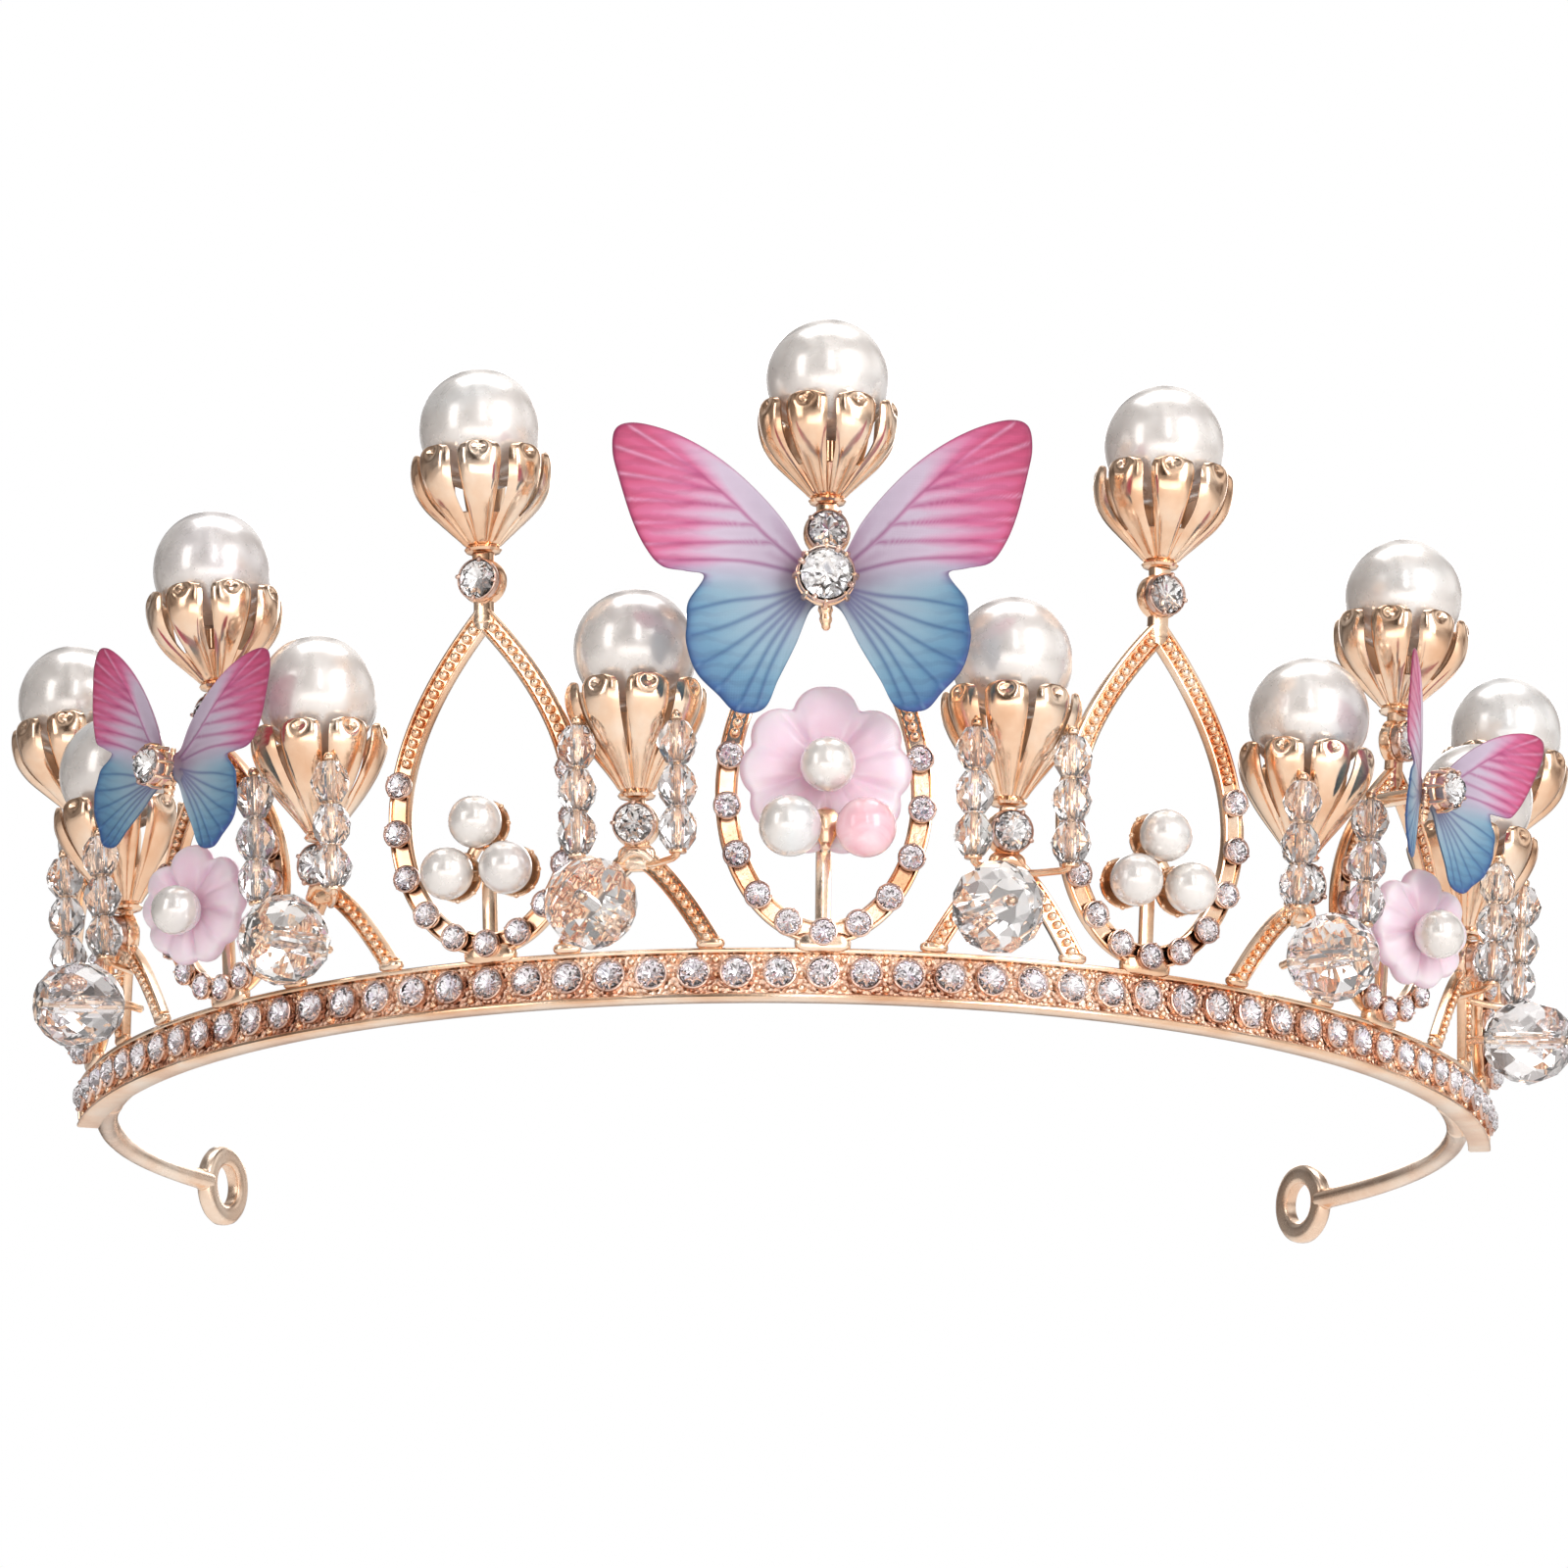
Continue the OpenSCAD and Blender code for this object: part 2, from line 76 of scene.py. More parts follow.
class Geo:
    """Polygons as flat arrays, so a repeated shape is cheap to place."""

    def __init__(self, verts=(), faces=(), mat=0, smooth=True, solid=True, uv=None):
        self.v = np.array(verts, float).reshape(-1, 3)
        self.tot = np.array([len(f) for f in faces], int)
        self.idx = np.array([i for f in faces for i in f], int)
        self.mat = np.array(mat, int) if np.ndim(mat) else np.full(len(faces), mat, int)
        self.smooth = np.array(smooth, bool) if np.ndim(smooth) else np.full(len(faces), smooth, bool)
        self.uv = uv or {}
        if solid and len(faces) and self.volume() < 0:
            self.flip()

    def starts(self):
        return np.concatenate([[0], np.cumsum(self.tot)[:-1]]).astype(int)

    def volume(self):
        s, total = self.starts(), 0.0
        c = self.v.mean(axis=0)
        for k in np.unique(self.tot):
            f = s[self.tot == k]
            a = self.v[self.idx[f]] - c
            for j in range(1, k - 1):
                b, d = self.v[self.idx[f + j]] - c, self.v[self.idx[f + j + 1]] - c
                total += float((a * np.cross(b, d)).sum())
        return total

    def flip(self):
        s = np.repeat(self.starts(), self.tot)
        off = np.arange(len(self.idx)) - s
        self.idx = self.idx[s + np.repeat(self.tot, self.tot) - 1 - off]

    def at(self, m):
        g = Geo()
        g.v = self.v @ m[:3, :3].T + m[:3, 3]
        g.tot, g.idx, g.mat, g.smooth, g.uv = self.tot, self.idx, self.mat, self.smooth, self.uv
        if np.linalg.det(m[:3, :3]) < 0:
            g.flip()
        return g

    def paint(self, mat):
        g = self.at(np.eye(4))
        g.mat = np.full(len(self.tot), mat, int)
        return g


def join(parts):
    parts = [p for p in parts if p is not None and len(p.v)]
    g = Geo()
    keys = sorted({k for p in parts for k in p.uv})
    off, vs, idx = 0, [], []
    for p in parts:
        vs.append(p.v)
        idx.append(p.idx + off)
        off += len(p.v)
    g.v, g.idx = np.concatenate(vs), np.concatenate(idx)
    g.tot = np.concatenate([p.tot for p in parts])
    g.mat = np.concatenate([p.mat for p in parts])
    g.smooth = np.concatenate([p.smooth for p in parts])
    g.uv = {k: np.concatenate([p.uv.get(k, np.zeros((len(p.v), 2))) for p in parts]) for k in keys}
    return g


def loft(rows, closed=False, caps=True, mat=0, smooth=True, ring=True):
    """rows is stations x points x 3. mat may hold one number for each point of the section."""
    rows = np.asarray(rows, float)
    S, K, _ = rows.shape
    faces, mats, sm = [], [], []
    kk = K if ring else K - 1
    for s in range(S if closed else S - 1):
        a, b = s * K, ((s + 1) % S) * K
        for k in range(kk):
            n = (k + 1) % K
            faces.append((a + k, a + n, b + n, b + k))
            mats.append(mat[k] if np.ndim(mat) else mat)
            sm.append(smooth)
    if not closed and caps and ring:
        for base, order in ((0, -1), ((S - 1) * K, 1)):
            faces.append(tuple(base + k for k in range(K))[::order])
            mats.append(mat[0] if np.ndim(mat) else mat)
            sm.append(False)
    return Geo(rows.reshape(-1, 3), faces, mats, sm)


def lathe(prof, n=32, mat=0, smooth=True, turn=0.0, loop=False):
    """prof is (r, z) points. A point with r = 0 is a pole. loop closes the profile on itself, as on a ring."""
    verts, rings = [], []
    for r, z in prof:
        if r < 1e-6:
            rings.append([len(verts)])
            verts.append((0, 0, z))
        else:
            rings.append(list(range(len(verts), len(verts) + n)))
            verts += [(r * math.cos(2 * math.pi * i / n + turn), r * math.sin(2 * math.pi * i / n + turn), z) for i in range(n)]
    faces = []
    pairs = list(zip(rings[:-1], rings[1:])) + ([(rings[-1], rings[0])] if loop else [])
    for a, b in pairs:
        for i in range(n):
            j = (i + 1) % n
            if len(a) == 1 and len(b) == 1:
                break
            if len(a) == 1:
                faces.append((a[0], b[j], b[i]))
            elif len(b) == 1:
                faces.append((a[i], a[j], b[0]))
            else:
                faces.append((a[i], a[j], b[j], b[i]))
    return Geo(verts, faces, mat, smooth)


def ball(r, n=32, m=20, mat=0):
    return lathe([(r * math.sin(math.pi * i / m), -r * math.cos(math.pi * i / m)) if 0 < i < m else (0, -r if i == 0 else r)
                  for i in range(m + 1)], n, mat)


def blob(rx, ry, rz, n=20, m=12, power=0.8, mat=0):
    """A rounded lump, softer than a box and fuller than a ball."""
    b = ball(1, n, m, mat)
    b.v = np.sign(b.v) * np.abs(b.v) ** power * np.array([rx, ry, rz])
    return b


def tube(path, r, k=12, mat=0, round_ends=True, flat=1.0):
    """A round wire along path. r is one radius or one for each point. flat squeezes it along its second axis."""
    p = np.asarray(path, float)
    r = np.full(len(p), r, float) if np.ndim(r) == 0 else np.asarray(r, float)
    t = np.gradient(p, axis=0)
    t /= np.linalg.norm(t, axis=1)[:, None]
    if round_ends:
        a, b = [], []
        for c in (0.0, 0.5, 0.87):
            a.append((p[0] - t[0] * r[0] * (1 - c) * 0.8, r[0] * max(0.12, math.sqrt(max(0, 1 - (1 - c) ** 2)))))
            b.append((p[-1] + t[-1] * r[-1] * (1 - c) * 0.8, r[-1] * max(0.12, math.sqrt(max(0, 1 - (1 - c) ** 2)))))
        p = np.concatenate([[x[0] for x in a], p, [x[0] for x in b[::-1]]])
        r = np.concatenate([[x[1] for x in a], r, [x[1] for x in b[::-1]]])
        t = np.concatenate([[t[0]] * 3, t, [t[-1]] * 3])
    up = np.array([0.0, 0, 1]) if abs(t[0][2]) < 0.9 else np.array([0.0, 1, 0])
    rows = []
    for i in range(len(p)):
        up = up - t[i] * (up @ t[i])
        up /= np.linalg.norm(up)
        side = np.cross(t[i], up)
        rows.append([p[i] + r[i] * (math.cos(a) * side + flat * math.sin(a) * up) for a in np.arange(k) * 2 * math.pi / k])
    return loft(rows, mat=mat)


def ribbon(path, prof, closed=False, mat=0, width=None):
    """A strip along path, (x, z) points, with section prof, (w, y) points. w is measured to the path's right-hand side."""
    p, prof = np.asarray(path, float), np.asarray(prof, float)
    n = len(p)
    rows = []
    for i in range(n):
        a = p[i] - p[i - 1] if (i or closed) else p[1] - p[0]
        b = p[(i + 1) % n] - p[i] if (i < n - 1 or closed) else p[-1] - p[-2]
        a, b = a / np.linalg.norm(a), b / np.linalg.norm(b)
        t = a + b
        t /= np.linalg.norm(t)
        mitre = 1 / max(0.55, float(t @ a))
        nrm = np.array([t[1], -t[0]]) * mitre * (1 if width is None else width[i])
        rows.append([(p[i][0] + nrm[0] * w, y, p[i][1] + nrm[1] * w) for w, y in prof])
    return loft(rows, closed=closed, mat=mat)


def along(path, pitch, start=0.0, end=0.0):
    """Points a pitch apart along a polyline."""
    p = np.asarray(path, float)
    d = np.concatenate([[0], np.cumsum(np.linalg.norm(np.diff(p, axis=0), axis=1))])
    n = max(1, int((d[-1] - start - end) / pitch))
    s = np.linspace(start, d[-1] - end, n + 1)
    return np.stack([np.interp(s, d, p[:, i]) for i in range(p.shape[1])], axis=1)


def make(name, geo, mats, nodes=(), body=FRAME, sharp=38, rides=True):
    me = bpy.data.meshes.new(name)
    me.vertices.add(len(geo.v))
    me.vertices.foreach_set("co", (geo.v * 0.001).ravel())
    me.loops.add(len(geo.idx))
    me.loops.foreach_set("vertex_index", geo.idx.astype(np.int32))
    me.polygons.add(len(geo.tot))
    me.polygons.foreach_set("loop_start", geo.starts().astype(np.int32))
    me.polygons.foreach_set("material_index", geo.mat.astype(np.int32))
    me.polygons.foreach_set("use_smooth", geo.smooth)
    for m in mats:
        me.materials.append(m)
    me.update(calc_edges=True)
    for k, uv in geo.uv.items():
        layer = me.uv_layers.new(name=k)
        layer.data.foreach_set("uv", uv[geo.idx].astype(np.float32).ravel())
    me.validate()
    if sharp:
        me.set_sharp_from_angle(angle=math.radians(sharp))
    ob = bpy.data.objects.new(name, me)
    bpy.context.scene.collection.objects.link(ob)
    if rides:
        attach(ob, body)
    if nodes:
        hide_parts(*nodes)
    return ob


# ------------------------------------------------------------------ material helpers
def lin(r, g, b):
    return tuple(c / 12.92 if c <= 0.04045 else ((c + 0.055) / 1.055) ** 2.4 for c in (r / 255, g / 255, b / 255)) + (1.0,)


class Mat:
    def __init__(self, name, **sockets):
        self.m = bpy.data.materials.new(name)
        self.m.use_nodes = True
        self.t = self.m.node_tree
        self.b = next(n for n in self.t.nodes if n.type == "BSDF_PRINCIPLED")
        for k, v in sockets.items():
            self.b.inputs[k.replace("_", " ")].default_value = v

    def add(self, kind, **kw):
        n = self.t.nodes.new(kind)
        for k, v in kw.items():
            if hasattr(n, k):
                setattr(n, k, v)
            else:
                n.inputs[k.replace("_", " ")].default_value = v
        return n

    def link(self, a, b):
        self.t.links.new(a, b)

    def coords(self, uv=None):
        if uv:
            n = self.add("ShaderNodeUVMap", uv_map=uv)
            return n.outputs["UV"]
        return self.add("ShaderNodeTexCoord").outputs["Object"]

    def noise(self, scale, detail=3, rough=0.5, vec=None, distortion=0.0):
        n = self.add("ShaderNodeTexNoise", Scale=scale, Detail=detail, Roughness=rough, Distortion=distortion)
        self.link(vec or self.coords(), n.inputs["Vector"])
        return n.outputs["Fac"]

    def voronoi(self, scale, vec=None, feature="F1", rand=1.0):
        n = self.add("ShaderNodeTexVoronoi", feature=feature, Scale=scale, Randomness=rand)
        self.link(vec or self.coords(), n.inputs["Vector"])
        return n.outputs["Distance"]

    def ramp(self, fac, stops, interp="LINEAR"):
        n = self.add("ShaderNodeValToRGB")
        n.color_ramp.interpolation = interp
        e = n.color_ramp.elements
        while len(e) < len(stops):
            e.new(0.5)
        for el, (pos, col) in zip(e, stops):
            el.position = pos
            el.color = col if np.ndim(col) else (col, col, col, 1)
        self.link(fac, n.inputs["Fac"])
        return n.outputs["Color"]

    def mix(self, fac, a, b, kind="MIX"):
        n = self.add("ShaderNodeMix", data_type="RGBA", blend_type=kind)
        for sock, val in ((n.inputs[0], fac), (n.inputs[6], a), (n.inputs[7], b)):
            if isinstance(val, bpy.types.NodeSocket):
                self.link(val, sock)
            else:
                sock.default_value = val
        return n.outputs[2]

    def calc(self, op, a, b=0.0):
        n = self.add("ShaderNodeMath", operation=op)
        for sock, val in ((n.inputs[0], a), (n.inputs[1], b)):
            if isinstance(val, bpy.types.NodeSocket):
                self.link(val, sock)
            else:
                sock.default_value = val
        return n.outputs[0]

    def bump(self, height, strength, distance=0.0002):
        n = self.add("ShaderNodeBump", Strength=strength, Distance=distance)
        self.link(height, n.inputs["Height"])
        self.link(n.outputs["Normal"], self.b.inputs["Normal"])

    def set(self, socket, value):
        self.link(value, self.b.inputs[socket])
        return self


def gold(name, light, mid, dark, rough=(0.12, 0.26), bump=0.12, grain=0.0):
    """Plated alloy: the plating's tint drifts over a few millimetres, and polish marks and pits show up close."""
    k = Mat(name, Metallic=1.0)
    drift = k.noise(140, 4, 0.55)
    fine = k.noise(1500, 3, 0.6)
    tint = k.ramp(drift, [(0.30, dark), (0.50, mid), (0.68, light)])
    k.set("Base Color", k.mix(k.ramp(fine, [(0.35, 0.0), (0.75, 0.22)]), tint, dark))
    k.set("Roughness", k.ramp(k.noise(420, 4, 0.6), [(0.3, rough[0]), (0.72, rough[1])]))
    h = k.noise(2600, 4, 0.55)
    if grain:
        h = k.calc("ADD", k.calc("MULTIPLY", h, 0.4), k.calc("MULTIPLY", k.voronoi(grain), 1.0))
    k.bump(h, bump, 0.0003 if grain else 0.00008)
    return k.m


GOLD = gold("rose_gold_cast", lin(255, 235, 214), lin(252, 216, 184), lin(228, 174, 134))
GOLD_PETAL = gold("rose_gold_polished", lin(255, 236, 216), lin(252, 218, 188), lin(234, 184, 146), rough=(0.09, 0.24), bump=0.05)
GOLD_PEBBLE = gold("rose_gold_pebbled", lin(255, 230, 210), lin(244, 208, 184), lin(200, 154, 132), rough=(0.2, 0.36), bump=0.9, grain=2300)
# the settings' gold is darker throughout than the other golds: painted shade for the dark rims the stones sit in
GOLD_CUP_SHADED = gold("rose_gold_settings", lin(250, 226, 212), lin(226, 194, 178), lin(164, 132, 124), rough=(0.14, 0.3), bump=0.15)
GOLD_WIRE = gold("rose_gold_wire", lin(255, 238, 220), lin(250, 223, 199), lin(234, 194, 164), rough=(0.18, 0.32), bump=0.1)


def stone_glass():
    k = Mat("rhinestone_glass", IOR=1.56, Transmission_Weight=1.0, Specular_IOR_Level=0.6)
    k.set("Base Color", k.ramp(k.noise(260, 1), [(0.35, lin(255, 255, 255)), (0.5, lin(252, 252, 255)), (0.66, lin(255, 253, 252))]))
    k.set("Roughness", k.ramp(k.noise(900, 2), [(0.4, 0.0), (0.7, 0.03)]))
    return k.m


def stone_foil(name, tones):
    k = Mat(name, Metallic=1.0)
    k.set("Base Color", k.ramp(k.noise(700, 1, 0.5), list(zip((0.30, 0.42, 0.52, 0.60, 0.72), [lin(*t) for t in tones]))))
    k.set("Roughness", k.ramp(k.noise(1200, 2), [(0.3, 0.05), (0.7, 0.16)]))
    return k.m


def crystal():
    k = Mat("faceted_crystal_glass", IOR=1.5, Transmission_Weight=0.95)
    k.set("Base Color", k.ramp(k.noise(90, 2), [(0.3, lin(254, 254, 252)), (0.5, lin(252, 250, 251)), (0.7, lin(250, 252, 255))]))
    k.set("Roughness", k.ramp(k.noise(600, 3), [(0.4, 0.0), (0.75, 0.035)]))
    return k.m


def pearl():
    k = Mat("pearl_lustre", Metallic=0.36, IOR=1.6, Subsurface_Weight=0.06, Coat_Weight=1.0, Coat_Roughness=0.13, Coat_IOR=1.7)
    k.b.inputs["Subsurface Radius"].default_value = (0.0012, 0.001, 0.0009)
    k.b.inputs["Subsurface Scale"].default_value = 1.0
    orient = k.ramp(k.noise(60, 2, 0.5, distortion=0.2), [(0.28, lin(222, 218, 220)), (0.42, lin(232, 228, 224)), (0.55, lin(237, 233, 229)),
                                                          (0.66, lin(228, 231, 232)), (0.8, lin(232, 225, 227))])
    k.set("Base Color", k.mix(k.ramp(k.noise(1800, 2), [(0.45, 0.0), (0.8, 0.10)]), orient, lin(214, 208, 208)))
    k.set("Roughness", k.ramp(k.noise(500, 3), [(0.3, 0.24), (0.75, 0.34)]))
    k.bump(k.noise(900, 2), 0.03, 0.00003)
    return k.m


def pink_glass():
    k = Mat("pink_opal_bead", IOR=1.52, Subsurface_Weight=0.2, Coat_Weight=0.8, Coat_Roughness=0.05)
    k.b.inputs["Subsurface Radius"].default_value = (0.003, 0.0014, 0.0016)
    k.b.inputs["Subsurface Scale"].default_value = 1.0
    k.set("Base Color", k.ramp(k.noise(240, 4, 0.6, distortion=0.8), [(0.3, lin(240, 176, 190)), (0.5, lin(245, 200, 210)), (0.7, lin(250, 222, 228))]))
    k.set("Roughness", k.ramp(k.noise(500, 2), [(0.3, 0.14), (0.7, 0.26)]))
    return k.m


def resin():
    """Frosted resin: pale at the thick middle, clearer and pinker at the petal edges, with faint ribs from the mould."""
    k = Mat("pink_petal_resin", IOR=1.48, Subsurface_Weight=0.55, Coat_Weight=0.35, Coat_Roughness=0.12, Transmission_Weight=0.12)
    k.b.inputs["Subsurface Radius"].default_value = (0.0035, 0.0016, 0.0022)
    k.b.inputs["Subsurface Scale"].default_value = 1.0
    sep = k.add("ShaderNodeSeparateXYZ")
    k.link(k.coords("petal"), sep.inputs[0])
    body = k.ramp(sep.outputs["X"], [(0.0, lin(238, 186, 208)), (0.35, lin(245, 208, 224)), (0.7, lin(249, 218, 232)), (0.93, lin(252, 230, 240)), (1.0, lin(243, 200, 222))])
    cloud = k.ramp(k.noise(330, 4, 0.6), [(0.35, 0.0), (0.7, 0.5)])
    k.set("Base Color", k.mix(cloud, body, lin(252, 232, 242)))
    k.set("Roughness", k.ramp(k.noise(260, 3), [(0.3, 0.30), (0.7, 0.38)]))
    ribs = k.add("ShaderNodeTexWave", wave_type="BANDS", bands_direction="Y", Scale=14.0, Distortion=0.6, Detail=0.0)
    k.link(k.coords("petal"), ribs.inputs["Vector"])
    k.bump(k.calc("ADD", k.calc("MULTIPLY", ribs.outputs["Fac"], 0.6), k.calc("MULTIPLY", k.noise(420, 2), 0.5)), 0.10, 0.00012)
    return k.m


def wing_cloth(name, violet):
    """Printed organza: the print runs from the body outward, veins change from dark to pale, and the weave shows up close."""
    k = Mat(name, IOR=1.45, Sheen_Weight=0.25, Sheen_Roughness=0.35, Subsurface_Weight=0.0)
    shade, detail = k.add("ShaderNodeSeparateXYZ"), k.add("ShaderNodeSeparateXYZ")
    k.link(k.coords("shade"), shade.inputs[0])
    k.link(k.coords("detail"), detail.inputs[0])
    cloud = k.calc("MULTIPLY", k.calc("SUBTRACT", k.noise(180, 4, 0.6), 0.5), 0.14)
    u = k.calc("ADD", shade.outputs["X"], cloud)
    upper = k.ramp(u, [(0.06, lin(150, 124, 150)), (0.20, lin(178, 164, 184)), (0.42, lin(192, 176, 196)), (0.54, lin(200, 150, 180)),
                       (0.66, lin(200, 104, 146)), (0.82, lin(192, 78, 120)), (0.97, lin(172, 60, 100))])
    lower = k.ramp(u, [(0.06, lin(142, 140, 162)), (0.25, lin(150, 168, 184)), (0.45, lin(130, 162, 182)), (0.62, lin(96, 140, 170)),
                       (0.80, lin(60, 104, 150)), (0.95, lin(*violet))])
    base = k.mix(shade.outputs["Y"], lower, upper)
    vein_up = k.ramp(u, [(0.15, lin(120, 62, 112)), (0.45, lin(158, 76, 128)), (0.66, lin(166, 62, 116)), (0.8, lin(206, 136, 174)), (0.95, lin(214, 152, 184))])
    vein_lo = k.ramp(u, [(0.2, lin(92, 94, 138)), (0.5, lin(60, 98, 140)), (0.75, lin(42, 82, 132)), (0.9, lin(106, 150, 188))])
    vein = k.mix(shade.outputs["Y"], vein_lo, vein_up)
    base = k.mix(k.calc("MULTIPLY", detail.outputs["X"], 0.75), base, vein)
    # painted shade along the crinkles of the pressed cloth: dark bands in the colour, closest together in the outer
    # part
    crinkle_shade = k.add("ShaderNodeTexWave", wave_type="BANDS", bands_direction="Y", Scale=5.2, Distortion=5.0, Detail=3.0, Detail_Scale=1.4)
    k.link(k.coords("weave"), crinkle_shade.inputs["Vector"])
    outer = k.ramp(u, [(0.42, 0.05), (0.62, 0.42), (0.9, 0.5)])
    base = k.mix(k.calc("MULTIPLY", k.ramp(crinkle_shade.outputs["Fac"], [(0.15, 1.0), (0.55, 0.0)]), outer), base, k.mix(0.45, base, (0.45, 0.3, 0.42, 1), "MULTIPLY"))
    base = k.mix(k.calc("MULTIPLY", detail.outputs["Y"], 0.65), base, k.mix(shade.outputs["Y"], lin(34, 60, 104), lin(112, 26, 74)))
    weave_a = k.add("ShaderNodeTexWave", wave_type="BANDS", bands_direction="X", Scale=46.0, Distortion=0.0)
    weave_b = k.add("ShaderNodeTexWave", wave_type="BANDS", bands_direction="Y", Scale=46.0, Distortion=0.0)
    for w in (weave_a, weave_b):
        k.link(k.coords("weave"), w.inputs["Vector"])
    weave = k.calc("MAXIMUM", weave_a.outputs["Fac"], weave_b.outputs["Fac"])
    base = k.mix(k.calc("MULTIPLY", k.calc("SUBTRACT", 1.0, weave), 0.35), base, k.mix(0.5, base, (1, 1, 1, 1), "MULTIPLY"))
    k.set("Base Color", base)
    k.set("Roughness", k.ramp(k.noise(700, 2), [(0.3, 0.38), (0.7, 0.56)]))
    k.bump(weave, 0.18, 0.00006)
    return k.m


GLASS, CRYSTAL, PEARL, PINK, RESIN = stone_glass(), crystal(), pearl(), pink_glass(), resin()
FOIL = stone_foil("rhinestone_foil", [(236, 230, 242), (254, 253, 254), (246, 238, 244), (254, 254, 255), (234, 234, 243)])
FOIL_CLEAR = stone_foil("rhinestone_foil_clear", [(206, 207, 212), (252, 252, 252), (232, 230, 228), (254, 254, 254), (198, 200, 206)])
WING_L, WING_R = wing_cloth("organza_print_left", (32, 72, 146)), wing_cloth("organza_print_right", (70, 74, 156))

# ------------------------------------------------------------------ the design's own numbers, as in the CAD model
TALL = []
for s in (0, -1, -2, -3, 1, 2, 3):
    k = abs(s)
    va = (36.3, 33.3, 25.8, 21.0)[k]
    vc = va * (0.44, 0.465, 0.5, 0.54)[k]
    TALL.append(dict(s=s, phi=s * 24.6, va=va, a=8.65 - (0, 0.05, 0.65, 1.25)[k], vc=vc, b=vc - 3.6))
LOW = []
for s in (-1, -2, -3, 1, 2, 3):
    k = abs(s) - 1
    inner, outer = (7.4, 8.4, 8.4)[k], (7.2, 4.4, 2.6)[k]
    LOW.append(dict(s=s, phi=math.copysign(13.4 + k * 25.4, s), drop=-0.6 * k, left=outer if s < 0 else inner, right=inner if s < 0 else outer))
TALL_NAME = {0: "centre_loop", -1: "left_loop_1", -2: "left_loop_2", -3: "left_loop_3", 1: "right_loop_1", 2: "right_loop_2", 3: "right_loop_3"}


def tear_x(L, v):
    return L["a"] * (1 - ((v - L["vc"]) / (L["va"] - L["vc"])) ** 1.9)


def tear_at(L, t):
    if abs(t) <= 90:
        r = math.radians(t)
        return L["a"] * math.sin(r), L["vc"] - L["b"] * math.cos(r)
    v = L["vc"] + math.radians(abs(t) - 90) * L["b"]
    return math.copysign(tear_x(L, v), t), v


# ------------------------------------------------------------------ repeated shapes
def brilliant(R, g, h, p):
    """A cut stone: crown and girdle are glass (0), the pavilion is foiled (1)."""
    ang = lambda d: (math.cos(math.radians(d)), math.sin(math.radians(d)))
    v, f, m = [], [], []

    def ring(n, r, z, first):
        at = len(v)
        v.extend([(r * ang(first + i * 360 / n)[0], r * ang(first + i * 360 / n)[1], z) for i in range(n)])
        return at

    T = ring(8, 0.56 * R, h, 22.5)
    M = ring(8, 0.82 * R, g + (h - g) * 0.55, 0)
    G = ring(16, R, g, 0)
    H = ring(16, R, g - 0.07 * (h - p), 0)
    Q = ring(8, 0.46 * R, g + (p - g) * 0.5, 0)
    v.append((0, 0, p))
    C = len(v) - 1
    f.append(tuple(T + i for i in range(8)))
    m.append(0)
    for i in range(8):
        j = (i + 1) % 8
        f += [(T + (i - 1) % 8, T + i, M + i), (T + i, M + i, G + (2 * i + 1) % 16, M + j),
              (M + i, G + (2 * i - 1) % 16, G + 2 * i), (M + i, G + 2 * i, G + (2 * i + 1) % 16)]
        m += [0] * 4
        f += [(H + (2 * i - 1) % 16, H + 2 * i, Q + i), (H + 2 * i, H + (2 * i + 1) % 16, Q + i), (Q + i, H + (2 * i + 1) % 16, Q + j, C)]
        m += [1] * 3
    for i in range(16):
        f.append((G + i, G + (i + 1) % 16, H + (i + 1) % 16, H + i))
        m.append(0)
    return oriented(v, f, m)


def oriented(v, f, m):
    """Turns each face of a star-shaped solid outward."""
    v = np.array(v, float)
    c = v.mean(axis=0)
    out = []
    for face in f:
        p = v[list(face)]
        n = np.cross(p[1] - p[0], p[2] - p[0])
        out.append(face if n @ (p.mean(axis=0) - c) > 0 else face[::-1])
    return Geo(v, out, m, False, solid=False)


def rhinestone(d, h, fill=0.80):
    """(stone, cup) standing on z = 0. The cup is a thin round box with a rolled rim and four claws."""
    R = d / 2
    stone = brilliant(fill * R, 0.52 * h, h, 0.16 * h)
    cup = lathe([(0, 0.0), (0.93 * R, 0.0), (0.98 * R, 0.06 * h), (R, 0.30 * h), (R, 0.48 * h), (0.97 * R, 0.57 * h), (max(0.90, fill + 0.05) * R, 0.60 * h),
                 ((fill + 0.035) * R, 0.56 * h), ((fill + 0.015) * R, 0.48 * h), ((fill - 0.01) * R, 0.30 * h), (0.45 * R, 0.12 * h), (0, 0.09 * h)], 28)
    claws = []
    for i in range(4):
        a = 45 + 90 * i
        claws.append(blob(0.17 * R * (0.9 / (0.1 + fill)), 0.11 * R, 0.17 * h, 10, 8).at(rot("Z", a) @ tr((fill + 0.03) * R, 0, 0.60 * h) @ rot("Y", -38)))
    return stone, join([cup] + claws)


def grain(r, n=10, m=6):
    return ball(r, n, m)


GRAIN = grain(1.0)


def grains(points, r, squash=0.8):
    return join([GRAIN.at(tr(*p) @ grow(r, r * squash, r)) for p in points])


